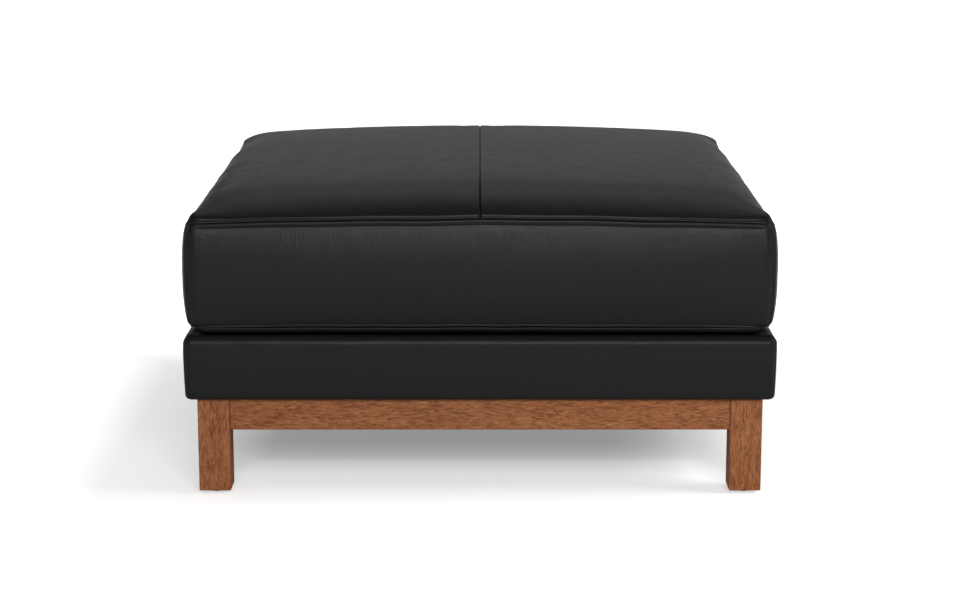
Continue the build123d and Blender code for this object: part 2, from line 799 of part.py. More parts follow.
# The back boxing is two strips that meet past the ends of the zip's slot
back_face = seam_depth / 2 + boxing_bulge
zip_slot_length = 2 * (boxing_run_x - zip_slot_end_margin)
with BuildPart() as zip_boxing_upper:
    add(boxing_back)
    split(bisect_by=Plane.XY.offset(zip_level), keep=Keep.TOP)
    with Locations((0, back_face, zip_level)):
        Box(zip_slot_length, seam_corner_radius, zip_slot_height, mode=Mode.SUBTRACT)
save(zip_boxing_upper.part, "zip_boxing_upper")

with BuildPart() as zip_boxing_lower:
    add(boxing_back)
    split(bisect_by=Plane.XY.offset(zip_level), keep=Keep.BOTTOM)
    with Locations((0, back_face, zip_level)):
        Box(zip_slot_length, seam_corner_radius, zip_slot_height, mode=Mode.SUBTRACT)
save(zip_boxing_lower.part, "zip_boxing_lower")

# Underside panel
with BuildPart() as cushion_bottom:
    add(tuck_form(0, 0))
    add(tuck_form(panel_wall, panel_wall), mode=Mode.SUBTRACT)
    add(bottom_channel, mode=Mode.SUBTRACT)
save(cushion_bottom.part, "cushion_bottom")

# Zip planes, from the back face inwards
tape_outer = back_face - panel_wall - zip_tape_clearance
tape_inner = tape_outer - zip_tape_thickness
coil_inner = tape_inner - coil_thickness
front_plate_inner = tape_outer + slider_clearance
front_plate_outer = front_plate_inner + slider_plate
back_plate_outer = coil_inner - slider_clearance
back_plate_inner = back_plate_outer - slider_plate
zip_length = zip_slot_length + 2 * zip_end_overlap
slider_park = zip_slot_length / 2 - slider_park_margin

# Foam core, with a smaller bevelled slab on it that lifts the crown
core_bottom = cushion_bottom_level + core_inset
core_top = top_seam - core_top_drop
with BuildPart() as cushion_core:
    with BuildSketch(Plane.XY.offset(core_bottom)):
        RectangleRounded(
            seam_width - 2 * core_inset, seam_depth - 2 * core_inset, core_corner_radius
        )
    extrude(amount=core_top - core_bottom)
save(cushion_core.part, "cushion_core")

crown_foam_corner_radius = crown_foam_bevel + crown_foam_corner_margin
with BuildPart() as crown_foam:
    with BuildSketch(Plane.XY.offset(core_top)):
        RectangleRounded(
            seam_width - 2 * crown_foam_inset,
            seam_depth - 2 * crown_foam_inset,
            crown_foam_corner_radius,
        )
    extrude(amount=crown_foam_height)
    upper_edges = crown_foam.faces().sort_by(Axis.Z)[-1].edges()
    chamfer(upper_edges, length=crown_foam_height / 2, length2=crown_foam_bevel)
save(crown_foam.part, "cushion_crown_foam")

# Pocket in the wrap for the zip
pocket_height = 2 * (coil_half_gap + zip_tape_width + wrap_pocket_margin)
pocket_inner = back_plate_inner - wrap_pocket_clearance
with BuildPart() as zip_pocket:
    with BuildSketch(Plane.XZ.offset(-pocket_inner)):
        with Locations((0, zip_level)):
            Rectangle(zip_length + 2 * wrap_pocket_margin, pocket_height)
    extrude(amount=-(back_face - pocket_inner))

# Fibre wrap round the foam, in an upper and a lower half
wrap_inset = panel_wall + wrap_clearance
with BuildPart() as cushion_wrap_top:
    add(boxing_fill(wrap_inset))
    split(bisect_by=Plane.XY.offset(zip_level), keep=Keep.TOP)
    add(crown_form(wrap_inset, wrap_inset))
    add(cushion_core.part, mode=Mode.SUBTRACT)
    add(crown_foam.part, mode=Mode.SUBTRACT)
    add(zip_pocket.part, mode=Mode.SUBTRACT)
save(cushion_wrap_top.part, "cushion_wrap_top")

with BuildPart() as cushion_wrap_bottom:
    add(boxing_fill(wrap_inset))
    split(bisect_by=Plane.XY.offset(zip_level), keep=Keep.BOTTOM)
    add(tuck_form(wrap_inset, wrap_inset))
    add(cushion_core.part, mode=Mode.SUBTRACT)
    add(zip_pocket.part, mode=Mode.SUBTRACT)
save(cushion_wrap_bottom.part, "cushion_wrap_bottom")

# Zip tapes and the coils sewn to their inner faces
with BuildPart() as zip_tape_upper:
    with BuildSketch(Plane.XZ.offset(-tape_inner)):
        with Locations((0, zip_level + coil_half_gap + zip_tape_width / 2)):
            Rectangle(zip_length, zip_tape_width)
    extrude(amount=-zip_tape_thickness)
save(zip_tape_upper.part, "zip_tape_upper")
save(mirror(zip_tape_upper.part, about=Plane.XY.offset(zip_level)), "zip_tape_lower")

with BuildPart() as zip_coil_upper:
    with BuildSketch(Plane.XZ.offset(-coil_inner)):
        with Locations((0, zip_level + coil_half_gap + coil_width / 2)):
            Rectangle(zip_slot_length, coil_width)
    extrude(amount=-coil_thickness)
save(zip_coil_upper.part, "zip_coil_upper")
save(mirror(zip_coil_upper.part, about=Plane.XY.offset(zip_level)), "zip_coil_lower")

# Slider: a plate each side of the chain, a post between them, flanges and a bridge for the pull
bridge_inner = front_plate_outer + bridge_opening_height
bridge_outer = bridge_inner + bridge_thickness
bridge_length = bridge_opening_length + 2 * bridge_foot
with BuildPart() as zip_slider:
    with BuildSketch(Plane.XZ.offset(-front_plate_inner)):
        with Locations((slider_park, zip_level)):
            Rectangle(slider_length, slider_width)
    extrude(amount=-slider_plate)
    with BuildSketch(Plane.XZ.offset(-back_plate_inner)):
        with Locations((slider_park, zip_level)):
            Rectangle(slider_length, slider_width)
    extrude(amount=-slider_plate)
    flange_offset = (slider_width - slider_flange_width) / 2
    with BuildSketch(Plane.XZ.offset(-back_plate_outer)):
        with Locations(
            (slider_park, zip_level + flange_offset), (slider_park, zip_level - flange_offset)
        ):
            Rectangle(slider_length, slider_flange_width)
    extrude(amount=-slider_flange_height)
    with BuildSketch(Plane.XZ.offset(-back_plate_outer)):
        with Locations((slider_park + (slider_length - slider_post_length) / 2, zip_level)):
            Rectangle(slider_post_length, slider_post_width)
    extrude(amount=-(front_plate_inner - back_plate_outer))
    with BuildSketch(Plane.XY.offset(zip_level)):
        with Locations((slider_park, (front_plate_outer + bridge_outer) / 2)):
            Rectangle(bridge_length, bridge_outer - front_plate_outer)
        with Locations((slider_park, (front_plate_outer + bridge_inner) / 2)):
            Rectangle(bridge_opening_length, bridge_opening_height, mode=Mode.SUBTRACT)
    extrude(amount=bridge_width / 2, both=True)
save(zip_slider.part, "zip_slider")

# Pull: a tab whose end bar lies under the bridge
pull_axis_y = front_plate_outer + bridge_opening_height / 2
pull_start = slider_park + pull_bar / 2
with BuildPart() as zip_pull:
    with BuildSketch(Plane.XZ.offset(pull_thickness / 2 - pull_axis_y)):
        with Locations((pull_start - pull_length / 2, zip_level)):
            Rectangle(pull_length, pull_width)
        with Locations((slider_park - (pull_bar / 2 + pull_hole_end) / 2, zip_level)):
            Rectangle(pull_hole_end - pull_bar / 2, pull_hole_width, mode=Mode.SUBTRACT)
    extrude(amount=-pull_thickness)
    far_edges = zip_pull.edges().filter_by(Axis.Y).group_by(Axis.X)[0]
    fillet(far_edges, radius=pull_corner_radius)
save(zip_pull.part, "zip_pull")
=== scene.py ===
"""Looks of the square leather ottoman: a crowned loose cushion on an upholstered base with wooden legs.

Metres. The origin is on the floor under the middle, +Z is up and the front faces -Y.
"""

import math

import bmesh
import bpy
import numpy as np
from mathutils import Matrix, Vector, noise


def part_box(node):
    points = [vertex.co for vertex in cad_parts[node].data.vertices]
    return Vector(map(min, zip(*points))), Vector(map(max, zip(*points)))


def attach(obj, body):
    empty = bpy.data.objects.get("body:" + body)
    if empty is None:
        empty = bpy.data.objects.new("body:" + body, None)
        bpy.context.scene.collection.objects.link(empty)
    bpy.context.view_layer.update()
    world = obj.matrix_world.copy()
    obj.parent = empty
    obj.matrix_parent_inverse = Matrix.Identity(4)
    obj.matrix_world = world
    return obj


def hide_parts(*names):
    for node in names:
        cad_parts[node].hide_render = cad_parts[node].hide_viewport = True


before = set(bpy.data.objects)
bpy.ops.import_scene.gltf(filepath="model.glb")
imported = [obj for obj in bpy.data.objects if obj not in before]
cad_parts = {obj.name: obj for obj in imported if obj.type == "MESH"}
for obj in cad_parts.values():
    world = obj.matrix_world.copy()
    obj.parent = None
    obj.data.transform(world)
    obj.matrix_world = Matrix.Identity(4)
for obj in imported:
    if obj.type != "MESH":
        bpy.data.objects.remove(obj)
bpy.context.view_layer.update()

bl_info = {
    "name": "Leather Ottoman",
    "version": (1, 0, 0),
    "blender": (4, 5, 0),
    "location": "View3D > Sidebar > Ottoman",
    "description": "Dresses the ottoman's frame with leather, wood, filling and stitching",
    "category": "Add Mesh",
}

MM = 0.001
QUARTER_TURN = math.radians(90)

# Mesh lines are closest in a band beside each seam, and grow apart from there
FINE_CELL = 0.8 * MM
FINE_BAND = 9.5 * MM
LINE_GROWTH = 1.25

# Levels and faces read from the frame
crown_low, crown_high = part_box("cushion_top_right")
bottom_low, bottom_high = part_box("cushion_bottom")
base_low, base_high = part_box("base_cover_right")
coil_low, coil_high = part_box("zip_coil_upper")
BOTTOM_SEAM = bottom_high.z
TOP_SEAM = crown_low.z
CROWN_TOP = crown_high.z
CUSHION_UNDERSIDE = bottom_low.z
SEAM_HALF_X = crown_high.x
SEAM_HALF_Y = crown_high.y
BASE_HALF_X = base_high.x
BASE_HALF_Y = -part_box("base_cover_front")[0].y
BASE_TOP = base_high.z
BASE_BOTTOM = base_low.z
ZIP_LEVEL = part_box("zip_boxing_upper")[0].z
ZIP_POCKET = coil_low.y - 2 * MM
ZIP_SLOT_HALF_HEIGHT = 6.5 * MM

# The coarse cover that the puckers come from
SIMULATION_CELL = 7.5 * MM
PUCKER_CAP = 8 * MM
SLOW_WIDTH = 45 * MM
SIMULATION_STEPS = 20

# Rows and fillings that the settings leave out
CORNER_ROW = 4 * MM
BASE_CELL = 7 * MM
WRAP_INSET = 5 * MM
WRAP_WALL = 7 * MM
CORE_ROLL = 6 * MM
PADDING_GAP = 2.6 * MM

# Strength of the world's light, beside the lamps
WORLD_LIGHT = 0.19


def measure(name, description, millimetres):
    """A length among the settings, given in millimetres."""
    return bpy.props.FloatProperty(
        name=name, description=description, default=millimetres * MM, unit="LENGTH"
    )


def factor(name, description, value, **limits):
    """A plain number among the settings."""
    return bpy.props.FloatProperty(name=name, description=description, default=value, **limits)


def tint(name, description, value):
    """A colour among the settings."""
    return bpy.props.FloatVectorProperty(
        name=name, description=description, subtype="COLOR", default=value, min=0, max=1
    )


class CushionSettings(bpy.types.PropertyGroup):
    """Sizes of the loose cushion's sewn cover."""

    corner_radius: measure("Corner radius", "Radius of the seams' corners in plan", 18)
    seam_droop: measure("Seam droop", "Drop of the top seam from the middle of a side to a corner", 7)
    seam_wave: measure("Seam wave", "Height of the gentle waves in the top and bottom seams", 1.1)
    foot_drop: measure("Foot drop", "How far the bottom seam hangs under its level in the frame", 4)
    corner_puff: measure("Corner puff", "How far the filling pushes the crown out over its corners", 5)
    side_pull: measure("Side pull", "How far a side draws in between its corners", 2.5)
    corner_fullness: measure("Corner fullness", "How far the filling pushes the upright corners out", 3.5)
    crown_lift: measure("Crown lift", "How far the crown stands over its level in the frame", 1.2)
    crown_fall: factor(
        "Crown fall",
        "Share of the crown's height that falls in a gentle bow, before its shoulder",
        0.24,
        min=0,
        max=1,
    )
    shoulder_power: factor(
        "Shoulder power", "How sharply the crown's shoulder turns down to the seam", 18.6, min=2
    )
    front_power: factor(
        "Front shoulder power", "How sharply the softer shoulder along the front turns down", 11.0, min=2
    )
    boxing_bow: measure("Boxing bow", "How far the side strips bow out past their seams at the corners", 9)
    middle_bow: measure("Middle bow", "How far the side strips bow out along the sides", 12)
    fullest_share: factor(
        "Fullest level",
        "Where the side strips bow out most at the corners, as a share of their height",
        0.62,
        min=0.1,
        max=0.9,
    )
    upper_row: measure("Upper stitch row", "Distance of the row on the top panels from their seam", 5)
    lower_row: measure("Lower stitch row", "Distance of the row on the strips from the top seam", 7.8)
    foot_row: measure("Foot stitch row", "Distance of the row on the strips from the bottom seam", 5.2)
    seam_depth: measure("Seam depth", "Depth of the valley where two panels meet", 2.4)
    row_depth: measure("Row depth", "Depth of the furrow that a stitch row pulls into the leather", 1.3)
    cell: measure("Cell", "Largest spacing of the cover's mesh", 6)
    fullness: factor(
        "Fullness", "Share of the simulated swelling that is kept beside its puckers", 0.1, min=0, max=1
    )
    pucker: factor("Pucker", "Strength of the simulated puckers on the side strips", 0.1, min=0)
    top_pucker: factor("Top pucker", "Strength of the simulated puckers on the crowned top", 0.16, min=0)
    leather_wall: measure("Leather wall", "Thickness of the leather with its backing", 1.8)
    stitch_pitch: measure("Stitch pitch", "Distance from one stitch to the next", 4.4)
    thread_radius: measure("Thread radius", "Radius of the sewing thread", 0.38)


class BaseSettings(bpy.types.PropertyGroup):
    """Sizes of the upholstered base."""

    corner_radius: measure("Corner radius", "Radius of the cover's upright corners", 14)
    top_roll: measure("Top roll", "Radius of the padded edge between the side and the deck border", 10)
    edge_rise: measure("Edge rise", "How far the padded edge rises over the deck", 3.5)
    bottom_roll: measure("Bottom roll", "Radius of the turn under the rails", 8)
    border: measure("Deck border", "Width of the leather border round the deck cloth", 100)
    underside_return: measure("Return", "Width of the leather turned under the rails", 37)
    foot_taper: measure("Foot taper", "How far the side draws in down to the bottom roll", 2)
    wave: measure("Edge wave", "Height of the gentle waves along the padded top edge", 1.6)
    wall: measure("Leather wall", "Thickness of the leather with its backing", 1.8)


class FinishSettings(bpy.types.PropertyGroup):
    """Colours of the finishes."""

    leather: tint("Leather", "Colour of the leather", (0.0055, 0.0055, 0.0058))
    wood_light: tint("Wood light", "Colour of the stained wood between its pores", (0.29, 0.108, 0.038))
    wood_dark: tint("Wood dark", "Colour of the stained wood's dark grain", (0.115, 0.033, 0.010))
    frame_wood: tint("Frame wood", "Colour of the bare wood inside the base", (0.55, 0.38, 0.22))


class StageSettings(bpy.types.PropertyGroup):
    """The floor and the camera."""

    floor_colour: tint("Floor colour", "Colour of the plain floor", (0.8, 0.8, 0.8))
    camera_distance: measure(
        "Camera distance", "Distance of the camera in front of the ottoman's middle", 3859.4
    )
    camera_height: measure("Camera height", "Height of the camera over the floor", 1032.1)
    camera_pitch: bpy.props.FloatProperty(
        name="Camera pitch",
        description="How far the camera looks down",
        subtype="ANGLE",
        default=math.radians(11.9),
    )
    camera_lens: bpy.props.FloatProperty(
        name="Lens",
        description="Focal length of the camera",
        subtype="DISTANCE_CAMERA",
        default=85,
    )


# Materials


def feed(socket, value):
    """Links an input to an output, or gives it a value."""
    if isinstance(value, bpy.types.NodeSocket):
        socket.id_data.links.new(value, socket)
    else:
        socket.default_value = value


def set_inputs(made, **inputs):
    """Feeds a node's inputs by name, with __ in place of a space."""
    for key, value in inputs.items():
        feed(made.inputs[key.replace("__", " ")], value)
    return made


def node(tree, kind, **inputs):
    """A new node with its inputs fed."""
    return set_inputs(tree.nodes.new(kind), **inputs)


def new_material(name):
    """A new finish's node tree, its shader, and the place on the piece that its patterns read."""
    material = bpy.data.materials.new(f"{name} finish")
    material.use_nodes = True
    tree = material.node_tree
    return tree, tree.nodes["Principled BSDF"], node(tree, "ShaderNodeTexCoord").outputs["Object"]


def group_with(name, inputs, outputs):
    """An empty node group that reads a vector and named numbers, with its inner ends."""
    group = bpy.data.node_groups.new(name, "ShaderNodeTree")
    group.interface.new_socket("Vector", in_out="INPUT", socket_type="NodeSocketVector")
    for label, value in inputs.items():
        socket = group.interface.new_socket(label, in_out="INPUT", socket_type="NodeSocketFloat")
        socket.default_value = value
    for label in outputs:
        group.interface.new_socket(label, in_out="OUTPUT", socket_type="NodeSocketFloat")
    return group, node(group, "NodeGroupInput").outputs, node(group, "NodeGroupOutput")


def place_group(tree, group, **inputs):
    """The outputs of a group placed in a material with its own values."""
    made = node(tree, "ShaderNodeGroup")
    made.node_tree = group
    return set_inputs(made, **inputs).outputs


def ramp(tree, value, stops):
    """The grey that a value gets from (position, grey) stops."""
    made = node(tree, "ShaderNodeValToRGB", Fac=value)
    elements = made.color_ramp.elements
    while len(elements) < len(stops):
        elements.new(0.5)
    for element, (position, grey) in zip(elements, stops):
        element.position = position
        element.color = (grey, grey, grey, 1)
    return made.outputs["Color"]


def mix_colours(tree, share, first, second):
    """A mix of two colours; each of the three is a socket or a constant."""
    made = node(tree, "ShaderNodeMix")
    made.data_type = "RGBA"
    for index, value in ((0, share), (6, first), (7, second)):
        feed(made.inputs[index], value)
    return made.outputs[2]


def maths(tree, operation, *operands):
    """The result of a sum; each operand is a socket or a number."""
    made = node(tree, "ShaderNodeMath")
    made.operation = operation
    for socket, value in zip(made.inputs, operands):
        feed(socket, value)
    return made.outputs[0]


def map_range(tree, value, low, high, to_low=0.0, to_high=1.0):
    """A value carried from one range to another, and held at its ends."""
    ends = {"From__Min": low, "From__Max": high, "To__Min": to_low, "To__Max": to_high}
    return node(tree, "ShaderNodeMapRange", Value=value, **ends).outputs["Result"]


def mottle(tree, vector, scale, detail, **more):
    """Noise over a vector."""
    made = node(tree, "ShaderNodeTexNoise", Vector=vector, Scale=scale, Detail=detail, **more)
    return made.outputs["Fac"]


def add_bumps(tree, shader, height, strength, distance):
    """Gives a shader the bumps of a height."""
    bumps = node(tree, "ShaderNodeBump", Height=height, Strength=strength, Distance=distance)
    set_inputs(shader, Normal=bumps.outputs["Normal"])


def shade(colour, brightness=1.0):
    """A colour made darker or lighter, with its alpha."""
    return (*[min(1.0, brightness * part) for part in colour], 1)


def leather_grain_group():
    """Leather grain: fine pebbles, soft creases and a slow drift of tone."""
    group, source, sink = group_with(
        "Leather grain",
        {"Pebble scale": 900.0, "Crease scale": 60.0, "Crease amount": 0.5},
        ("Height", "Tone", "Wear"),
    )
    vector = source["Vector"]
    pebbles = node(group, "ShaderNodeTexVoronoi", Vector=vector, Scale=source["Pebble scale"])
    creases = mottle(group, vector, source["Crease scale"], 6.0, Roughness=0.62, Distortion=0.6)
    crease_lines = ramp(group, creases, [(0.0, 1.0), (0.46, 1.0), (0.5, 0.0), (0.54, 1.0)])
    pebble_height = maths(group, "MULTIPLY", pebbles.outputs["Distance"], 0.55)
    crease_height = maths(group, "MULTIPLY", crease_lines, source["Crease amount"])
    height = maths(group, "ADD", pebble_height, crease_height)
    set_inputs(sink, Height=height, Tone=mottle(group, vector, 4.0, 3.0), Wear=creases)
    return group


def gathers_height(tree, place):
    """Fine upright gathers in scattered groups, which fade out below the top seam."""
    upright = node(tree, "ShaderNodeMapping", Vector=place, Scale=(1, 1, 0.1)).outputs["Vector"]
    gathers = ramp(tree, mottle(tree, upright, 360.0, 2.0), [(0.0, 0.0), (0.5, 0.0), (0.66, 1.0)])
    grouped = ramp(tree, mottle(tree, upright, 26.0, 2.0), [(0.0, 0.0), (0.42, 0.0), (0.55, 1.0)])
    level = node(tree, "ShaderNodeSeparateXYZ", Vector=place).outputs["Z"]
    below = map_range(tree, level, TOP_SEAM - 58 * MM, TOP_SEAM - 9 * MM)
    fade = ramp(tree, below, [(0.0, 0.0), (0.4, 0.7), (0.62, 1.0), (0.85, 0.35), (1.0, 0.0)])
    return maths(tree, "MULTIPLY", gathers, maths(tree, "MULTIPLY", grouped, fade))


def leather_material(name, colour, grain, gathers=0.0):
    """Satin black leather with pebble grain, faint creases and a slow drift of gloss; with gathers, their
    ridges get a painted highlight.
    """
    tree, shader, place = new_material(name)
    scales = {"Pebble__scale": 950.0, "Crease__scale": 38.0, "Crease__amount": 0.2}
    detail = place_group(tree, grain, Vector=place, **scales)
    toned = mix_colours(tree, detail["Tone"], shade(colour, 0.8), shade(colour, 1.25))
    height = detail["Height"]
    if gathers:
        drawn = gathers_height(tree, place)
        height = maths(tree, "ADD", height, maths(tree, "MULTIPLY", drawn, gathers))
        # Painted highlight on the gathers' ridges, partly the lightening of stretched leather: the colour
        # turns up to three times lighter there
        toned = mix_colours(tree, maths(tree, "MULTIPLY", drawn, 0.8), toned, shade(colour, 3.0))
    gloss = map_range(tree, detail["Wear"], 0.3, 0.7, 0.365, 0.42)
    set_inputs(shader, Base__Color=toned, Roughness=gloss, Specular__IOR__Level=0.13)
    add_bumps(tree, shader, height, 0.35, 0.35 * MM)


def wood_grain_group():
    """Wood grain running along the vector's X: broken ring lines, short pores, flecks and slow drift."""
    patterns = ("Rings", "Pores", "Flecks", "Tone", "Blush")
    group, source, sink = group_with("Wood grain", {"Ring scale": 34.0, "Pore scale": 430.0}, patterns)
    pore_scale = source["Pore scale"]

    def stretched(squeeze, shift=0.0):
        """The vector with its patterns drawn out along the grain, in a patch of their own."""
        drawn = {"Scale": (squeeze, 1, 1), "Location": (shift, shift, shift)}
        return node(group, "ShaderNodeMapping", Vector=source["Vector"], **drawn).outputs["Vector"]

    def streaks(vector, scale, stops, detail=3.0):
        """Streaks of noise, shown through the stops of a ramp."""
        return ramp(group, mottle(group, vector, scale, detail, Roughness=0.6, Distortion=0.4), stops)

    field = mottle(group, stretched(0.17), source["Ring scale"], 3.0, Roughness=0.55, Distortion=1.4)
    wave = maths(group, "PINGPONG", maths(group, "MULTIPLY", field, 12.0), 1.0)
    ring_lines = ramp(group, wave, [(0.0, 1.0), (0.16, 0.7), (0.42, 0.0), (1.0, 0.0)])
    broken = streaks(stretched(0.3, 0.3), 260.0, [(0.0, 0.0), (0.4, 0.15), (0.6, 1.0)])
    set_inputs(
        sink,
        Rings=maths(group, "MULTIPLY", ring_lines, broken),
        Pores=streaks(stretched(0.2), pore_scale, [(0.0, 0.0), (0.5, 0.0), (0.62, 0.8), (0.72, 1.0)]),
        Flecks=streaks(stretched(0.2, 0.7), pore_scale, [(0.0, 0.0), (0.54, 0.0), (0.66, 1.0)]),
        Tone=streaks(stretched(0.16, 1.1), 9.0, [(0.25, 0.0), (0.75, 1.0)], detail=2.0),
        Blush=streaks(stretched(0.1, 1.7), 26.0, [(0.4, 0.0), (0.62, 1.0)], detail=1.0),
    )
    return group


def wood_material(name, grain, turn, light, dark, pores=0.8, joint=0.0):
    """Stained wood whose grain runs along the axis that turn brings to X.

    Where joint is given, the wood darkens in the joints that far from the middle: stain collects there,
    and shade is painted where the apron's end stands back from the leg.
    """
    tree, shader, place = new_material(name)
    along = node(tree, "ShaderNodeMapping", Vector=place, Rotation=turn).outputs["Vector"]
    detail = place_group(tree, grain, Vector=along)
    red = (light[0] * 0.86, light[1] * 0.72, light[2] * 0.68, 1)
    pale = (light[0] * 1.4, light[1] * 1.8, light[2] * 2.1, 1)
    colour = shade(light)
    for pattern, strength, stain in (
        ("Blush", 0.6, red),
        ("Flecks", 0.6, pale),
        ("Rings", 0.75, shade(dark)),
        ("Pores", pores, shade(dark)),
    ):
        colour = mix_colours(tree, maths(tree, "MULTIPLY", detail[pattern], strength), colour, stain)
    if joint:
        across = node(tree, "ShaderNodeSeparateXYZ", Vector=along).outputs["X"]
        from_middle = maths(tree, "ABSOLUTE", across)
        # Painted shade with stain: a dark band at the apron's ends, where they meet the legs
        joint_shade_and_stain = map_range(tree, from_middle, joint - 2.4 * MM, joint - 0.4 * MM, to_high=0.85)
        colour = mix_colours(tree, joint_shade_and_stain, colour, shade(dark, 0.25))
    tone = map_range(tree, detail["Tone"], 0.0, 1.0, 0.9, 1.1)
    toned = node(tree, "ShaderNodeHueSaturation", Value=tone, Color=colour).outputs["Color"]
    rough = maths(tree, "MULTIPLY_ADD", detail["Pores"], 0.15, 0.6)
    set_inputs(shader, Base__Color=toned, Roughness=rough, Specular__IOR__Level=0.2)
    add_bumps(tree, shader, maths(tree, "MULTIPLY", detail["Pores"], -1.0), 0.4, 0.3 * MM)


def weave_group():
    """Over and under threads along the vector's X and Y."""
    group, source, sink = group_with("Weave", {"Threads": 900.0}, ("Height", "Tone"))
    split = node(group, "ShaderNodeSeparateXYZ", Vector=source["Vector"]).outputs
    waves = []
    for axis in ("X", "Y"):
        turned = maths(group, "MULTIPLY", split[axis], source["Threads"])
        waves.append(maths(group, "SINE", maths(group, "MULTIPLY", turned, math.pi)))
    crossing = maths(group, "MULTIPLY", *waves)
    height = maths(group, "MULTIPLY_ADD", crossing, 0.5, 0.5)
    set_inputs(sink, Height=height, Tone=mottle(group, source["Vector"], 300.0, 3.0))
    return group


def cloth_material(name, colour, weave, threads=900.0, sheen=0.2):
    """Matt woven or felted cloth."""
    tree, shader, place = new_material(name)
    detail = place_group(tree, weave, Vector=place, Threads=threads)
    blend = maths(tree, "MULTIPLY", detail["Height"], detail["Tone"])
    doubled = maths(tree, "MULTIPLY", blend, 2.0)
    toned = mix_colours(tree, doubled, shade(colour, 0.7), shade(colour, 1.2))
    set_inputs(shader, Base__Color=toned, Roughness=0.92, Sheen__Weight=sheen)
    add_bumps(tree, shader, detail["Height"], 0.5, 0.3 * MM)


def foam_material(name, colour, cell_scale):
    """Open-celled foam or loose fibre."""
    tree, shader, place = new_material(name)
    cells = node(tree, "ShaderNodeTexVoronoi", Vector=place, Scale=cell_scale).outputs["Distance"]
    toned = mix_colours(tree, cells, shade(colour), shade(colour, 0.72))
    set_inputs(shader, Base__Color=toned, Roughness=0.95)
    add_bumps(tree, shader, cells, 0.6, 0.6 * MM)


def metal_material(name, colour, roughness, metallic=1.0):
    """Brushed or painted metal with fine scratches."""
    tree, shader, place = new_material(name)
    scratches = mottle(tree, place, 700.0, 4.0)
    toned = mix_colours(tree, scratches, shade(colour, 0.85), shade(colour))
    rough = maths(tree, "MULTIPLY_ADD", scratches, 0.2, roughness - 0.1)
    set_inputs(shader, Base__Color=toned, Roughness=rough, Metallic=metallic)


def plastic_material(name, colour, roughness):
    """Moulded plastic with a fine grain."""
    tree, shader, place = new_material(name)
    grain = mottle(tree, place, 1200.0, 2.0)
    toned = mix_colours(tree, grain, shade(colour, 0.8), shade(colour))
    set_inputs(shader, Base__Color=toned, Roughness=roughness)
    add_bumps(tree, shader, grain, 0.2, 0.1 * MM)


def floor_material(colour):
    """A plain floor that shows white to the camera, with a painted shadow: its glow is a little lower near
    the ottoman, for the camera and in gloss.
    """
    tree, shader, place = new_material("floor")
    split = node(tree, "ShaderNodeSeparateXYZ", Vector=place).outputs
    side = maths(tree, "SUBTRACT", maths(tree, "ABSOLUTE", split["X"]), BASE_HALF_X + 0.12)
    front = maths(tree, "SUBTRACT", maths(tree, "ABSOLUTE", split["Y"]), BASE_HALF_Y)
    past = maths(tree, "MAXIMUM", side, front)
    outwards = map_range(tree, past, -0.5, 0.5)
    # Painted shade in the floor's reflections: the glow that gloss sees falls towards the ottoman
    far = map_range(tree, past, 0.0, 1.2, 0.15, 1.0)
    path = node(tree, "ShaderNodeLightPath").outputs
    painted_shade_in_gloss = maths(tree, "MULTIPLY", path["Is Glossy Ray"], far)
    seen = maths(tree, "MAXIMUM", path["Is Camera Ray"], painted_shade_in_gloss)
    # Painted shadow: the glow is lowest under and beside the ottoman, and reaches full white only away
    # from it
    glow_with_painted_shadow = ramp(tree, outwards, [(0.27, 0.28), (0.37, 0.48), (0.52, 0.5), (0.74, 1.0)])
    set_inputs(
        shader,
        Base__Color=shade(colour),
        Roughness=1,
        Specular__IOR__Level=0,
        Emission__Color=(1, 1, 1, 1),
        Emission__Strength=maths(tree, "MULTIPLY", seen, glow_with_painted_shadow),
    )


def finished(name):
    """The material of a finish."""
    return bpy.data.materials[f"{name} finish"]


def paint_nodes(names, finish):
    """Gives carried-over frame nodes a finish in place of what they carry."""
    for name in names:
        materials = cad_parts[name].data.materials
        materials.clear()
        materials.append(finished(finish))


# Mesh helpers


def piece_from(name, bm, material, body, smooth=True):
    """A piece made of a bmesh, with its finish, riding on a body."""
    mesh = bpy.data.meshes.new(name)
    for face in bm.faces:
        face.smooth = smooth
    bm.to_mesh(mesh)
    bm.free()
    piece = bpy.data.objects.new(name, mesh)
    bpy.context.scene.collection.objects.link(piece)
    mesh.materials.append(material)
    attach(piece, body)
    return piece


def give_thickness(piece, thickness):
    """Thickens a sheet inwards from its outer face."""
    wall = piece.modifiers.new("Wall", "SOLIDIFY")
    wall.thickness = thickness
    wall.offset = -1
    wall.use_even_offset = True


def bell(distance, width):
    """A smooth rise of height one, from its middle out."""
    return np.exp(-((distance / width) ** 2))


def clamp(values):
    """Values held between 0 and 1."""
    return np.clip(values, 0, 1)


def graded_lines(length, fine, largest):
    """Places from 0 to length, closest together in a band at both ends."""
    half = [0.0]
    step = fine
    while half[-1] + step < length / 2:
        half.append(half[-1] + step)
        if half[-1] > FINE_BAND:
            step = min(step * LINE_GROWTH, largest)
    stretch = length / 2 / half[-1]
    half = [place * stretch for place in half]
    return np.array(half + [length - place for place in half[-2::-1]])


def rounded_plan(x, y, half_x, half_y, radius):
    """Moves points of a sharp-cornered plan onto nested outlines with rounded corners."""
    inset_x = half_x - np.abs(x)
    inset_y = half_y - np.abs(y)
    depth = np.minimum(inset_x, inset_y)
    along = np.maximum(inset_x, inset_y) - depth
    ring_x = half_x - depth
    ring_y = half_y - depth
    corner = np.maximum(np.minimum(radius, np.minimum(ring_x, ring_y)), 1e-9)
    turn = math.pi / 4 * clamp(1 - along / corner)
    in_arc = along < corner
    on_x_side = inset_x <= inset_y
    near = corner * np.cos(turn)
    far = corner * np.sin(turn)
    out_x = ring_x - corner + np.where(on_x_side, near, far)
    out_y = ring_y - corner + np.where(on_x_side, far, near)
    new_x = np.where(in_arc, out_x, np.abs(x)) * np.sign(x)
    new_y = np.where(in_arc, out_y, np.abs(y)) * np.sign(y)
    return new_x, new_y


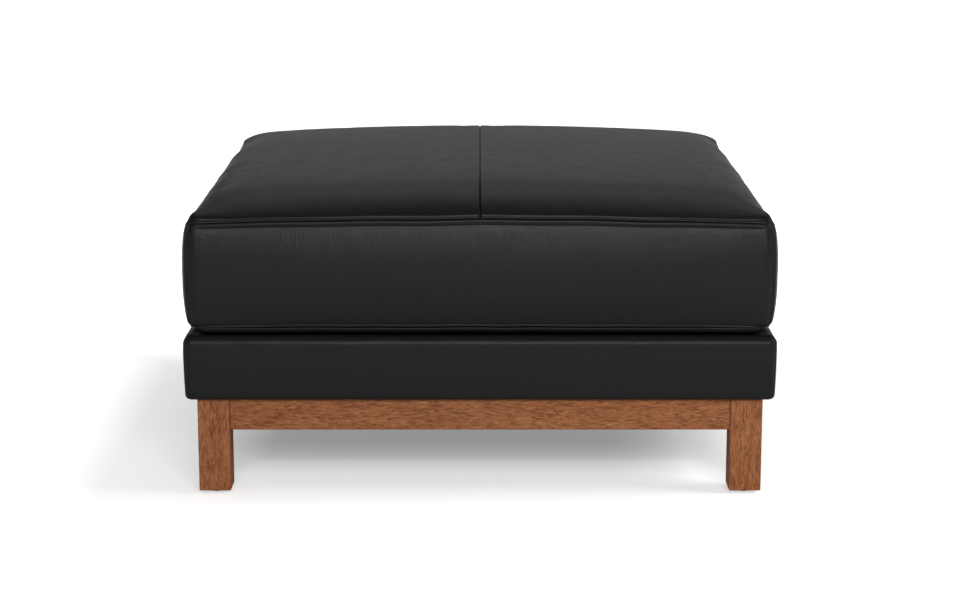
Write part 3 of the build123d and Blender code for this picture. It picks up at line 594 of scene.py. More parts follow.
def box_lattice(counts):
    """A closed box of evenly spaced cells, and each vertex's place in the lattice."""
    bm = bmesh.new()
    bmesh.ops.create_cube(bm, size=1)
    for axis, count in enumerate(counts):
        across = [
            edge for edge in bm.edges if abs(edge.verts[0].co[axis] - edge.verts[1].co[axis]) > 0.5
        ]
        bmesh.ops.subdivide_edges(bm, edges=across, cuts=count - 1, use_grid_fill=True)
    bm.verts.ensure_lookup_table()
    places = np.array([vert.co for vert in bm.verts])
    indices = np.rint((places + 0.5) * np.array(counts)).astype(int)
    return bm, indices


def move_vertices(bm, places):
    """Puts a bmesh's vertices in their places."""
    for vert, place in zip(bm.verts, places):
        vert.co = place


def soft_noise(points, size, seed):
    """Smooth noise from -1 to 1 over points, with features of the given size."""
    shift = Vector((seed * 7.31, seed * 3.17, seed * 5.53))
    return np.array([noise.noise(Vector(point) / size + shift) for point in points])


# Cushion


class CushionForm:
    """The crowned boxed cushion's surface, addressed by the lattice it is made from."""

    # The seams' waves: their lengths, how far they reach inwards, and each seam's start
    long_wave = 91 * MM
    short_wave = 38 * MM
    wave_reach = 25 * MM
    top_start = 1.0
    foot_start = 2.2
    # Where the side strips bow out most along the sides, as a share of their height
    middle_fullest = 0.45
    # Share of the height over which the upright corners fill out
    corner_rise = 0.05
    # Width of the underside's roll over its depth
    roll_width = 2.2

    def __init__(self, cushion, cell, fine, inset=0.0):
        self.cushion = cushion
        self.inset = inset
        self.half_x = SEAM_HALF_X - inset
        self.half_y = SEAM_HALF_Y - inset
        half_lines = graded_lines(self.half_x, fine, cell)
        self.x_lines = np.concatenate([half_lines - self.half_x, half_lines[1:]])
        self.y_lines = graded_lines(2 * self.half_y, fine, cell) - self.half_y
        height_lines = graded_lines(TOP_SEAM - BOTTOM_SEAM, fine, cell)
        self.z_shares = height_lines / height_lines[-1]
        self.counts = (len(self.x_lines) - 1, len(self.y_lines) - 1, len(self.z_shares) - 1)

    def corner_share(self, x, y):
        """How near a point is to a corner: 0 over the middle lines, 1 at a corner."""
        return (x / self.half_x * y / self.half_y) ** 2

    def wave(self, x, y, start):
        """Gentle waves along the seams, which die away inwards and to the corners."""
        inset_x = self.half_x - np.abs(x)
        inset_y = self.half_y - np.abs(y)
        run = np.where(inset_x < inset_y, y, x)
        inwards = np.exp(-np.maximum(np.minimum(inset_x, inset_y), 0) / self.wave_reach)
        height = np.sin(run / self.short_wave + start) * np.sin(run / self.long_wave + 2 * start)
        return self.cushion.seam_wave * height * inwards * (1 - clamp(self.corner_share(x, y)))

    def seam_level(self, x, y):
        """Height of the top seam over the plan."""
        level = TOP_SEAM - self.cushion.seam_droop * self.corner_share(x, y)
        return level + self.wave(x, y, self.top_start) - self.inset

    def crown(self, x, y):
        """Height of the crown over its seam."""
        fall = self.cushion.crown_fall

        def profile(share, power):
            """The crown's bow at a share of its width, and what its shoulder leaves of it."""
            share = clamp(np.abs(share))
            bow = 1 - fall * share**2
            return bow, np.maximum(1 - (1 - fall) * share**power / bow, 1e-9)

        bow_x, across = profile(x / self.half_x, self.cushion.shoulder_power)
        power = np.where(y < 0, self.cushion.front_power, self.cushion.shoulder_power)
        bow_y, along = profile(y / self.half_y, power)
        # Full corners: where two shoulders meet, the lower one decides
        shoulder = across * along / np.sqrt(across**2 + along**2 - (across * along) ** 2)
        return (CROWN_TOP + self.cushion.crown_lift - TOP_SEAM) * bow_x * bow_y * shoulder

    def bow(self, share, x, y):
        """How far a side strip bows out at a share of its height."""
        fullest = self.cushion.fullest_share
        below = share < fullest
        from_fullest = np.where(below, 1 - share / fullest, (share - fullest) / (1 - fullest))
        corner = np.sqrt(clamp(1 - from_fullest ** np.where(below, 2.6, 2.5)))
        corner_bow = self.cushion.boxing_bow * corner
        fullest = self.middle_fullest
        middle = 1 - (np.abs(share - fullest) / np.where(share < fullest, fullest, 1 - fullest)) ** 2
        towards_corner = np.minimum(np.abs(x) / self.half_x, np.abs(y) / self.half_y) ** 6
        return corner_bow + (self.cushion.middle_bow * middle - corner_bow) * (1 - towards_corner)

    def pull(self, x, y, rise):
        """Draws the sides in between their corners, and fills out the corners above the foot."""
        share_x = clamp(np.abs(x) / self.half_x)
        share_y = clamp(np.abs(y) / self.half_y)
        draw = self.cushion.side_pull
        full = self.cushion.corner_fullness * np.sqrt(clamp(rise / self.corner_rise))
        out_x = full * share_y**10 - draw * (1 - share_y**2)
        out_y = full * share_x**10 - draw * (1 - share_x**2)
        new_x = x + np.sign(x) * share_x**8 * out_x
        new_y = y + np.sign(y) * share_y**8 * out_y
        return new_x, new_y

    def places(self, indices):
        """Where each lattice vertex lies on the cushion."""
        x = self.x_lines[indices[:, 0]]
        y = self.y_lines[indices[:, 1]]
        share = self.z_shares[indices[:, 2]]
        radius = self.cushion.corner_radius - self.inset
        plan_x, plan_y = rounded_plan(x, y, self.half_x, self.half_y, radius)
        top = indices[:, 2] == self.counts[2]
        bottom = indices[:, 2] == 0
        on_rim = (np.abs(x) > self.half_x - 1e-6) | (np.abs(y) > self.half_y - 1e-6)
        # The side strips follow the seams' outline, bowed out
        bow = np.where(on_rim, self.bow(share, x, y), 0)
        out_x, out_y = rounded_plan(
            x * (1 + bow / self.half_x),
            y * (1 + bow / self.half_y),
            self.half_x + bow,
            self.half_y + bow,
            radius + bow,
        )
        side = ~(top | bottom)
        plan_x = np.where(side, out_x, plan_x)
        plan_y = np.where(side, out_y, plan_y)
        crowned = self.seam_level(plan_x, plan_y) + self.crown(plan_x, plan_y)
        seam = np.where(on_rim, crowned, self.seam_level(plan_x, plan_y))
        foot = BOTTOM_SEAM - self.cushion.foot_drop
        low = foot + np.abs(self.wave(plan_x, plan_y, self.foot_start))
        z = np.where(top, crowned, low + share * (seam - low))
        # The underside rolls in from its seam to a flat
        drop = foot - CUSHION_UNDERSIDE
        depth = np.minimum(self.half_x - np.abs(x), self.half_y - np.abs(y))
        roll = clamp(depth / (self.roll_width * drop))
        z = np.where(bottom, low - (drop - self.inset) * np.sqrt(1 - (1 - roll) ** 2), z)
        plan_x, plan_y = self.pull(plan_x, plan_y, np.where(bottom, 0, share))
        return np.stack([plan_x, plan_y, z], axis=1)

    def sides(self, indices):
        """Vertex numbers of the six sides, each with the places of its lines."""
        numbers = -np.ones([count + 1 for count in self.counts], int)
        numbers[tuple(indices.T)] = np.arange(len(indices))
        return {
            "top": (numbers[:, :, -1], self.x_lines, self.y_lines),
            "bottom": (numbers[:, :, 0], self.x_lines, self.y_lines),
            "front": (numbers[:, 0], self.x_lines, self.z_shares),
            "back": (numbers[:, -1], self.x_lines, self.z_shares),
            "left": (numbers[0], self.y_lines, self.z_shares),
            "right": (numbers[-1], self.y_lines, self.z_shares),
        }


def running_lengths(points):
    """Distances along the first axis of a grid of points, from its start."""
    steps = np.linalg.norm(np.diff(points, axis=0), axis=-1)
    return np.concatenate([np.zeros((1, *steps.shape[1:])), np.cumsum(steps, axis=0)])


def seam_relief(distance, row, seam_depth, row_depth, fullness):
    """Height of the leather beside a twin-needle seam, by its distance from the seam."""
    valley = seam_depth * bell(distance, 1.1 * MM)
    furrow = row_depth * bell(distance - row, 0.9 * MM)
    puff = fullness * np.sqrt(clamp(1 - np.abs(distance - row / 2) / (row / 2)))
    sink = 0.6 * MM * clamp(1 - (distance - row) / (10 * MM))
    return puff - valley - furrow - sink


def inflate(piece, held):
    """Moves of a closed cover's vertices under air pressure, none further than the cap."""
    rest = np.zeros(len(piece.data.vertices) * 3)
    piece.data.vertices.foreach_get("co", rest)
    group = piece.vertex_groups.new(name="held")
    for number, weight in enumerate(held):
        if weight > 0:
            group.add([number], float(weight), "REPLACE")
    cloth = piece.modifiers.new("Inflate", "CLOTH")
    cloth.settings.quality = 4
    cloth.settings.mass = 0.3
    cloth.settings.tension_stiffness = 20
    cloth.settings.compression_stiffness = 20
    cloth.settings.shear_stiffness = 10
    cloth.settings.bending_stiffness = 0.4
    cloth.settings.use_pressure = True
    cloth.settings.uniform_pressure_force = 4
    cloth.settings.shrink_min = -0.01
    cloth.settings.vertex_group_mass = "held"
    cloth.settings.effector_weights.gravity = 0
    cloth.collision_settings.use_collision = False
    cloth.point_cache.frame_start = 1
    cloth.point_cache.frame_end = SIMULATION_STEPS
    scene = bpy.context.scene
    for number in range(1, SIMULATION_STEPS + 1):
        scene.frame_set(number)
    shown = piece.evaluated_get(bpy.context.evaluated_depsgraph_get())
    moved = np.zeros(len(rest))
    shown.data.vertices.foreach_get("co", moved)
    scene.frame_set(1)
    moves = (moved - rest).reshape(-1, 3)
    distance = np.linalg.norm(moves, axis=1, keepdims=True)
    return moves * np.minimum(1, PUCKER_CAP / np.maximum(distance, 1e-9))


def blank_from(name, bm, places):
    """A mesh made of a bmesh, with its vertices in their places."""
    move_vertices(bm, places)
    blank = bpy.data.meshes.new(name)
    bm.to_mesh(blank)
    bm.free()
    return blank


def vertex_normals(mesh):
    """The mesh's vertex normals as an array."""
    normals = np.zeros(len(mesh.vertices) * 3)
    mesh.vertices.foreach_get("normal", normals)
    return normals.reshape(-1, 3)


def seam_distances(sides, places):
    """Each vertex's distance from the round seams, the corner seams and the middle seam."""
    ring = np.full(len(places), 1.0)
    corner = ring.copy()
    middle = ring.copy()
    for name, side in sides.items():
        table = side[0]
        ends = ring if name in ("top", "bottom") else corner
        for distance, view in ((ring, table.T), (ring, table.T[::-1]), (ends, table), (ends, table[::-1])):
            np.minimum.at(distance, view, running_lengths(places[view]))
    table = sides["top"][0]
    half = len(table) // 2
    for view in (table[half:], table[half::-1]):
        np.minimum.at(middle, view, running_lengths(places[view]))
    return ring, corner, middle


def spread_weights(source, target):
    """Smooth cubic weights that carry values from one row of places to another."""
    position = np.interp(target, source, np.arange(len(source)))
    start = np.clip(position.astype(int), 0, len(source) - 2)
    t = position - start
    weights = np.zeros((len(target), len(source)))
    rows = np.arange(len(target))
    for offset, weight in (
        (-1, (-t + 2 * t**2 - t**3) / 2),
        (0, 1 - 2.5 * t**2 + 1.5 * t**3),
        (1, (t + 4 * t**2 - 3 * t**3) / 2),
        (2, (t**3 - t**2) / 2),
    ):
        np.add.at(weights, (rows, np.clip(start + offset, 0, len(source) - 1)), weight)
    return weights


def blur_weights(lines, width):
    """Weights that average a row of values over a width."""
    weights = bell(lines[:, None] - lines[None, :], width)
    return weights / weights.sum(axis=1, keepdims=True)


def simulated_puckers(cushion, fine_sides, count):
    """Moves of the fine lattice's vertices, from a pressure simulation of a coarse cover."""
    form = CushionForm(cushion, SIMULATION_CELL, SIMULATION_CELL)
    bm, indices = box_lattice(form.counts)
    places = form.places(indices)
    blank = blank_from("air_blank", bm, places)
    whole = bpy.data.objects.new("air_blank", blank)
    bpy.context.scene.collection.objects.link(whole)
    sides = form.sides(indices)
    ring, corner, middle = seam_distances(sides, places)
    on_top = indices[:, 2] == form.counts[2]
    on_bottom = indices[:, 2] == 0
    held = clamp(1 - ring / (14 * MM))
    held = np.maximum(held, clamp(1 - corner / (9 * MM)))
    held = np.maximum(held, clamp(1 - middle / (8 * MM)) * on_top)
    held = np.where(on_bottom, 1, held)
    moves = inflate(whole, held)
    bpy.data.objects.remove(whole)
    spread = np.zeros((count, 3))
    for name, (table, lines, other_lines) in sides.items():
        scale = 1 if name in ("top", "bottom") else TOP_SEAM - BOTTOM_SEAM
        grid = moves[table]
        blur = blur_weights(lines, SLOW_WIDTH)
        other_blur = blur_weights(other_lines * scale, SLOW_WIDTH)
        slow = np.einsum("ai,ijk,bj->abk", blur, grid, other_blur)
        grid = (grid - (1 - cushion.fullness) * slow) * (1 - held[table])[..., None]
        grid *= cushion.top_pucker if name == "top" else cushion.pucker
        fine_table, fine_lines, fine_other = fine_sides[name]
        across = spread_weights(lines, fine_lines)
        along = spread_weights(other_lines, fine_other)
        spread[fine_table] = np.einsum("ai,ijk,bj->abk", across, grid, along)
    return spread


def cover_relief(form, indices, sides, places):
    """How far the leather stands out along its normals, at its seams, rows and full corners."""
    cushion = form.cushion
    level = indices[:, 2]
    on_top = level == form.counts[2]
    on_bottom = level == 0
    upper_half = 2 * level > form.counts[2]

    def by_region(top, upper, lower):
        """Values on the top panels, on the upper half of the side strips and below it."""
        return np.where(on_top, top, np.where(upper_half, upper, lower))

    ring, corner, middle = seam_distances(sides, places)
    row = by_region(cushion.upper_row, cushion.lower_row, cushion.foot_row)
    fullness = by_region(0.7, 1.1, 0.5) * MM
    furrow = by_region(1.9, 1.3, 1.6) * cushion.row_depth
    relief = seam_relief(ring, row, cushion.seam_depth, furrow, fullness)
    # The top seam's relief fades out at the upright corners
    from_corner = corner_distance(form, places)
    relief *= 1 - clamp(1.4 - from_corner / (20 * MM)) * upper_half
    middle_valley = 0.8 * cushion.seam_depth * bell(middle, 1.2 * MM)
    relief = np.where(on_top, relief - middle_valley, relief)
    upright = seam_relief(corner, CORNER_ROW, cushion.seam_depth, 0.6 * cushion.row_depth, 0.4 * MM)
    upright *= clamp(ring / (8 * MM))
    relief = np.where(on_top | on_bottom, relief, relief + upright)
    relief = np.where(on_bottom & (ring > 14 * MM), 0, relief)
    # Slow waves along the crown's left and right shoulders
    waves = soft_noise(places * np.array([0.25, 1, 0.25]), 60 * MM, 3)
    from_side = 1 - np.abs(places[:, 0]) / form.half_x
    relief += 2.2 * MM * waves * bell(from_side - 0.05, 0.07) * on_top
    # The filling pushes the crown out over its corners, further at the back
    at_back = places[:, 1] > 0
    reach = np.where(at_back, 60 * MM, 45 * MM)
    puff = cushion.corner_puff * np.where(at_back, 1.2, 1) * bell(from_corner, reach)
    return relief + puff * clamp(ring / (12 * MM)) * on_top


def corner_distance(form, places):
    """Distance over the plan from the nearest corner of the seams' outline."""
    from_corner = np.abs(places[:, :2]) - np.array([form.half_x, form.half_y])
    return np.linalg.norm(from_corner, axis=1)


def make_cushion_cover():
    """The sewn cover: one closed form, puffed, given its seams and cut into its panels."""
    cushion = bpy.context.scene.cushion
    form = CushionForm(cushion, cushion.cell, FINE_CELL)
    bm, indices = box_lattice(form.counts)
    places = form.places(indices)
    sides = form.sides(indices)
    places = places + simulated_puckers(cushion, sides, len(places))
    blank = blank_from("cushion_blank", bm, places)
    normals = vertex_normals(blank)
    places = places + normals * cover_relief(form, indices, sides, places)[:, None]
    blank.vertices.foreach_set("co", places.astype(np.float32).ravel())
    blank.update()
    make_stitches(cushion, sides, places, normals)
    return cut_panels(cushion, form.counts, indices, blank)


def cut_panels(cushion, counts, indices, blank):
    """The cover's panels, each cut from the whole by the lattice plane that it lies on."""
    count_x, count_y, count_z = counts
    half_x = count_x / 2
    half_z = count_z / 2
    corners_of = np.array([polygon.vertices[:] for polygon in blank.polygons])
    middles = indices[corners_of].mean(axis=1)
    panels = {}
    for name, stands_for, axis, level, span_axis, low, high in (
        ("top_left", "cushion_top_left", 2, count_z, 0, 0, half_x),
        ("top_right", "cushion_top_right", 2, count_z, 0, half_x, count_x),
        ("boxing_front", "boxing_front", 1, 0, 0, 0, count_x),
        ("boxing_left", "boxing_left", 0, 0, 1, 0, count_y),
        ("boxing_right", "boxing_right", 0, count_x, 1, 0, count_y),
        ("boxing_back_lower", "zip_boxing_lower", 1, count_y, 2, 0, half_z),
        ("boxing_back_upper", "zip_boxing_upper", 1, count_y, 2, half_z, count_z),
        ("cushion_underside", "cushion_bottom", 2, 0, 0, 0, count_x),
    ):
        keep = np.abs(middles[:, axis] - level) < 0.01
        keep &= (middles[:, span_axis] > low) & (middles[:, span_axis] < high)
        panel = bmesh.new()
        panel.from_mesh(blank)
        panel.faces.ensure_lookup_table()
        surplus = [panel.faces[number] for number in np.nonzero(~keep)[0]]
        bmesh.ops.delete(panel, geom=surplus, context="FACES")
        material = finished("boxing_leather" if name.startswith("boxing") else "leather")
        piece = piece_from(f"{name}_panel", panel, material, "cushion")
        give_thickness(piece, cushion.leather_wall)
        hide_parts(stands_for)
        panels[name] = piece
    return panels


def at_distance(distance, run, values):
    """Values along a run, read at a distance from its start."""
    return [np.interp(distance, run, values[:, axis]) for axis in range(3)]


def add_stitches(bm, points, uprights, cushion):
    """Short threads laid end to end along a row, each sinking into the leather at its ends."""
    run = running_lengths(points)
    count = int(run[-1] / cushion.stitch_pitch)
    reach = 0.4 * cushion.stitch_pitch
    for number in range(count):
        middle = (number + 0.5) * run[-1] / count
        start = Vector(at_distance(middle - reach, run, points))
        end = Vector(at_distance(middle + reach, run, points))
        upright = Vector(at_distance(middle, run, uprights)).normalized()
        along = (end - start).normalized()
        across = upright.cross(along).normalized()
        upright = along.cross(across)
        place = (start + end) / 2 + upright * 0.35 * cushion.thread_radius
        turn = Matrix((across, upright, along)).transposed().to_4x4()
        made = bmesh.ops.create_icosphere(bm, subdivisions=1, radius=1)
        shape = Matrix.Diagonal((cushion.thread_radius, cushion.thread_radius * 0.8, reach, 1))
        bmesh.ops.transform(bm, verts=made["verts"], matrix=Matrix.Translation(place) @ turn @ shape)


def make_stitches(cushion, sides, places, normals):
    """The thread of the twin rows round the top and bottom seams and beside the corner seams."""
    near = int(2 * FINE_BAND / MM)
    rows = {"top_seam_stitches": [], "bottom_seam_stitches": [], "corner_seam_stitches": []}
    for name, side in sides.items():
        table = side[0]
        if name == "top":
            views = (table, table[::-1], table.T, table.T[::-1])
            rows["top_seam_stitches"] += [(view[:near].T, cushion.upper_row) for view in views]
        elif name != "bottom":
            rows["top_seam_stitches"].append((table[:, ::-1][:, :near], cushion.lower_row))
            rows["bottom_seam_stitches"].append((table[:, :near], cushion.foot_row))
            for view in (table[:near].T, table[::-1][:near].T):
                rows["corner_seam_stitches"].append((view, CORNER_ROW))
    for name, paths in rows.items():
        whole = bmesh.new()
        for view, distance in paths:
            # Each profile starts at the seam, so its length tells how far away the row is
            points = []
            uprights = []
            for numbers in view:
                run = running_lengths(places[numbers])
                points.append(at_distance(distance, run, places[numbers]))
                uprights.append(at_distance(distance, run, normals[numbers]))
            add_stitches(whole, np.array(points), np.array(uprights), cushion)
        piece_from(name, whole, finished("thread"), "cushion")


def cut_zip_slot(piece):
    """Opens the zip's slot in a back strip."""
    bm = bmesh.new()
    bm.from_mesh(piece.data)
    for side in (1, -1):
        for point, normal in (
            (Vector((side * coil_high.x, 0, 0)), Vector((side, 0, 0))),
            (Vector((0, 0, ZIP_LEVEL + side * ZIP_SLOT_HALF_HEIGHT)), Vector((0, 0, side))),
        ):
            # Nearby vertices move onto the cut, which leaves no slivers beside it
            for vert in bm.verts:
                away = (vert.co - point).dot(normal)
                if abs(away) < 1.5 * MM:
                    vert.co -= away * normal
            geometry = bm.verts[:] + bm.edges[:] + bm.faces[:]
            bmesh.ops.bisect_plane(bm, geom=geometry, dist=1e-6, plane_co=point, plane_no=normal)
    inside = []
    for face in bm.faces:
        middle = face.calc_center_median()
        if abs(middle.x) < coil_high.x and abs(middle.z - ZIP_LEVEL) < ZIP_SLOT_HALF_HEIGHT:
            inside.append(face)
    bmesh.ops.delete(bm, geom=inside, context="FACES")
    bm.to_mesh(piece.data)
    bm.free()


# Base


def ring_point(along_share, half_along, half_out, radius):
    """Places along one side of a rounded outline, from the middle of one corner to the next."""
    along = along_share * half_along
    past = np.abs(along) - (half_along - radius)
    turn = np.where(radius > 1e-6, math.pi / 4 * clamp(past / np.maximum(radius, 1e-9)), 0)
    run = np.where(past > 0, half_along - radius + radius * np.sin(turn), np.abs(along))
    out = np.where(past > 0, half_out - radius + radius * np.cos(turn), half_out)
    return run * np.sign(along), out


def base_profile(base):
    """The cover's section, from the deck cloth's edge over the top roll to the return: inset, level."""
    top_roll = base.top_roll
    bottom_roll = base.bottom_roll
    near_edge = top_roll + 20 * MM
    side_top = BASE_TOP - top_roll
    side_foot = BASE_BOTTOM + bottom_roll
    start = base.foot_taper + bottom_roll
    points = [(inset, BASE_TOP) for inset in np.linspace(base.border, near_edge, 8)]
    points += [(inset, BASE_TOP) for inset in np.linspace(near_edge, top_roll, 8)[1:-1]]
    for turn in np.linspace(0, QUARTER_TURN, 9):
        points.append((top_roll * (1 - math.sin(turn)), side_top + top_roll * math.cos(turn)))
    for level in np.linspace(side_top, side_foot, 18)[1:-1]:
        share = (side_top - level) / (side_top - side_foot)
        points.append((base.foot_taper * share**2, level))
    for turn in np.linspace(0, QUARTER_TURN, 7):
        points.append((start - bottom_roll * math.cos(turn), side_foot - bottom_roll * math.sin(turn)))
    points += [(inset, BASE_BOTTOM) for inset in np.linspace(start, base.underside_return, 6)[1:]]
    points = np.array(points)
    inset, level = points.T
    level += base.edge_rise * bell(inset - top_roll, 7 * MM) * clamp((level - side_top) / top_roll)
    return points


def make_base_panel(name, stands_for, half_along, half_out, turn):
    """One side of the base's cover with its shares of the border and the return."""
    base = bpy.context.scene.base
    profile = base_profile(base)
    columns = graded_lines(2 * half_along, FINE_CELL, BASE_CELL) / half_along - 1
    bm = bmesh.new()
    bmesh.ops.create_grid(bm, x_segments=len(columns) - 1, y_segments=len(profile) - 1, size=1)
    lattice = (np.array([vert.co[:2] for vert in bm.verts]) + 1) / 2
    column, line = np.rint(lattice * (len(columns) - 1, len(profile) - 1)).astype(int).T
    inset, level = profile[line].T
    radius = np.maximum(base.corner_radius - inset, 0)
    run, out = ring_point(columns[column], half_along - inset, half_out - inset, radius)
    places = np.stack([run, -out, level], axis=1)
    move_vertices(bm, places)
    bmesh.ops.recalc_face_normals(bm, faces=bm.faces)
    front_face = min(bm.faces, key=lambda face: face.calc_center_median().y)
    if front_face.normal.y > 0:
        bmesh.ops.reverse_faces(bm, faces=bm.faces)
    bm.normal_update()
    normals = np.array([vert.normal for vert in bm.verts])
    # The corner seams, and waves that are strongest along the padded edge
    seed = len(name)
    from_corner = half_along * (1 - np.abs(columns[column]))
    valley = 1.3 * MM * bell(from_corner, 1.3 * MM)
    puff = 0.35 * MM * bell(from_corner - CORNER_ROW, 2.5 * MM)
    ripple = soft_noise(places * np.array([1, 1, 0.6]), 90 * MM, seed)
    fine = soft_noise(places * np.array([1, 1, 0.5]), 28 * MM, seed + 5)
    at_edge = bell(level - BASE_TOP + base.top_roll * 0.4, 14 * MM)
    side_wave = 0.5 * MM * ripple * np.exp(-inset / (20 * MM))
    edge_wave = base.wave * at_edge * (0.7 * ripple + 0.4 * fine) * np.exp(-inset / (12 * MM))
    outside = clamp((level - BASE_BOTTOM) / (20 * MM)) * clamp((base.border - inset) / (60 * MM))
    relief = (puff + side_wave + edge_wave) * outside - valley
    on_deck = (level > BASE_TOP - 0.1 * MM) & (inset > base.top_roll + 4 * MM)
    relief = np.where(on_deck, -valley, relief)
    move_vertices(bm, places + normals * relief[:, None])
    bmesh.ops.rotate(bm, verts=bm.verts, cent=(0, 0, 0), matrix=Matrix.Rotation(turn, 3, "Z"))
    piece = piece_from(name, bm, finished("leather"), "base")
    give_thickness(piece, base.wall)
    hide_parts(stands_for)


def soft_block(name, node_name, finish, body, roll):
    """A block of foam in the space of its node, with soft edges."""
    low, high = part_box(node_name)
    bm = bmesh.new()
    bmesh.ops.create_cube(bm, size=1)
    bmesh.ops.scale(bm, vec=high - low, verts=bm.verts)
    bmesh.ops.translate(bm, vec=(low + high) / 2, verts=bm.verts)
    bmesh.ops.bevel(
        bm,
        geom=bm.edges[:],
        offset=roll,
        offset_type="OFFSET",
        affect="EDGES",
        segments=6,
        profile=0.5,
        material=-1,
    )
    piece = piece_from(name, bm, finished(finish), body)
    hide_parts(node_name)
    return piece


def make_wrap(name, node_name, is_top):
    """Half of the fibre wrap: a shell inside the cover, with a hollow for the zip."""
    form = CushionForm(bpy.context.scene.cushion, 16 * MM, 6 * MM, inset=WRAP_INSET)
    bm, indices = box_lattice(form.counts)
    places = form.places(indices)
    behind = (indices[:, 1] == form.counts[1]) & (indices[:, 2] > 0)
    from_zip = np.abs(places[:, 2] - ZIP_LEVEL)
    along = clamp((coil_high.x + 24 * MM - np.abs(places[:, 0])) / (12 * MM))
    hollow = clamp((26 * MM - from_zip) / (8 * MM)) * along * behind
    places[:, 1] -= np.maximum(places[:, 1] - ZIP_POCKET, 0) * hollow
    move_vertices(bm, places)
    level = indices[:, 2]
    surplus = []
    for face in bm.faces:
        middle = sum(level[vert.index] for vert in face.verts) / 4
        if (middle < form.counts[2] / 2) == is_top:
            surplus.append(face)
    bmesh.ops.delete(bm, geom=surplus, context="FACES")
    piece = piece_from(name, bm, finished("fibre"), "cushion")
    give_thickness(piece, WRAP_WALL)
    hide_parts(node_name)


def node_copy(name, node_name, finish, body, slimming=0.0):
    """A clean copy of a node's mesh as a new piece that stands for it, drawn in by slimming."""
    bm = bmesh.new()
    bm.from_mesh(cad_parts[node_name].data)
    bmesh.ops.remove_doubles(bm, verts=bm.verts, dist=1e-5)
    bm.normal_update()
    for vert in bm.verts:
        vert.co -= slimming * vert.normal
    piece = piece_from(name, bm, finished(finish), body, smooth=False)
    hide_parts(node_name)
    return piece


# Operators


class OTTOMAN_OT_finishes(bpy.types.Operator):
    """Make the materials"""

    bl_idname = "ottoman.finishes"
    bl_label = "Finishes"

    def execute(self, context):
        finish = context.scene.finish
        grain = leather_grain_group()
        leather_material("leather", finish.leather, grain)
        leather_material("boxing_leather", finish.leather, grain, gathers=2.0)
        wood = wood_grain_group()
        stain = (finish.wood_light, finish.wood_dark)
        leg_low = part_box("leg_back_right")[0]
        wood_material("leg_wood", wood, (0, QUARTER_TURN, 0), *stain)
        wood_material("apron_wood", wood, (0, 0, 0), *stain, joint=leg_low.x)
        wood_material("side_apron_wood", wood, (0, 0, QUARTER_TURN), *stain, joint=leg_low.y)
        bare_dark = [0.6 * part for part in finish.frame_wood]
        wood_material("bare_wood", wood, (0, 0, 0), finish.frame_wood, bare_dark, pores=0.5)
        weave = weave_group()
        cloth_material("deck_cloth", (0.018, 0.018, 0.019), weave)
        cloth_material("dust_cloth", (0.014, 0.014, 0.015), weave, threads=500.0)
        cloth_material("felt", (0.32, 0.32, 0.31), weave, threads=260.0)
        cloth_material("webbing", (0.45, 0.36, 0.22), weave, threads=420.0)
        cloth_material("zip_tape", (0.016, 0.016, 0.017), weave, threads=1300.0)
        cloth_material("thread", (0.004, 0.004, 0.004), weave, threads=3000.0, sheen=0.0)
        foam_material("foam", (0.72, 0.66, 0.42), 500.0)
        foam_material("fibre", (0.8, 0.8, 0.78), 260.0)
        metal_material("steel", (0.56, 0.56, 0.55), 0.38)
        metal_material("zip_metal", (0.03, 0.03, 0.032), 0.35, metallic=0.6)
        plastic_material("glide", (0.03, 0.022, 0.018), 0.5)
        plastic_material("zip_coil", (0.02, 0.02, 0.021), 0.4)
        return {"FINISHED"}


class OTTOMAN_OT_leg_frame(bpy.types.Operator):
    """Finish the legs, the aprons, the glides, the fasteners and the base's wooden frame"""

    bl_idname = "ottoman.leg_frame"
    bl_label = "Leg frame"

    def execute(self, context):
        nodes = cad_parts
        fasteners = ["glide_nails", "corner_block_screws", "mounting_bolts", "bolt_washers", "tee_nuts"]
        paint_nodes([name for name in nodes if name.startswith("leg_")], "leg_wood")
        paint_nodes(["apron_front", "apron_back"], "apron_wood")
        paint_nodes(["apron_left", "apron_right"], "side_apron_wood")
        bare = ("corner_block_front", "corner_block_back", "frame_")
        paint_nodes([name for name in nodes if name.startswith(bare)], "bare_wood")
        paint_nodes([name for name in nodes if name.startswith("glide_")], "glide")
        paint_nodes(fasteners, "steel")
        return {"FINISHED"}


class OTTOMAN_OT_base(bpy.types.Operator):
    """Make the base's cover, padding, deck and underside"""

    bl_idname = "ottoman.base"
    bl_label = "Upholstered base"

    def execute(self, context):
        for side, half_along, half_out, turn in (
            ("front", BASE_HALF_X, BASE_HALF_Y, 0),
            ("right", BASE_HALF_Y, BASE_HALF_X, QUARTER_TURN),
            ("back", BASE_HALF_X, BASE_HALF_Y, 2 * QUARTER_TURN),
            ("left", BASE_HALF_Y, BASE_HALF_X, -QUARTER_TURN),
        ):
            make_base_panel(f"base_{side}_panel", f"base_cover_{side}", half_along, half_out, turn)
        for name, node_name, finish in (
            ("deck_foam_slab", "deck_foam", "foam"),
            ("edge_padding_ring", "edge_padding", "fibre"),
        ):
            piece = node_copy(name, node_name, finish, "base", PADDING_GAP)
        for name in ("webbing_lengthwise", "webbing_crosswise"):
            node_copy(f"{name}_straps", name, "webbing", "base")
        for name, node_name, finish, carrier in (
            ("deck_cloth_sheet", "deck_cloth", "deck_cloth", "deck_foam_slab"),
            ("dust_cover_sheet", "dust_cover", "dust_cloth", "frame_rail_front"),
            ("insulator_sheet", "insulator_cloth", "felt", "webbing_lengthwise_straps"),
        ):
            piece = node_copy(name, node_name, finish, "base")
        return {"FINISHED"}


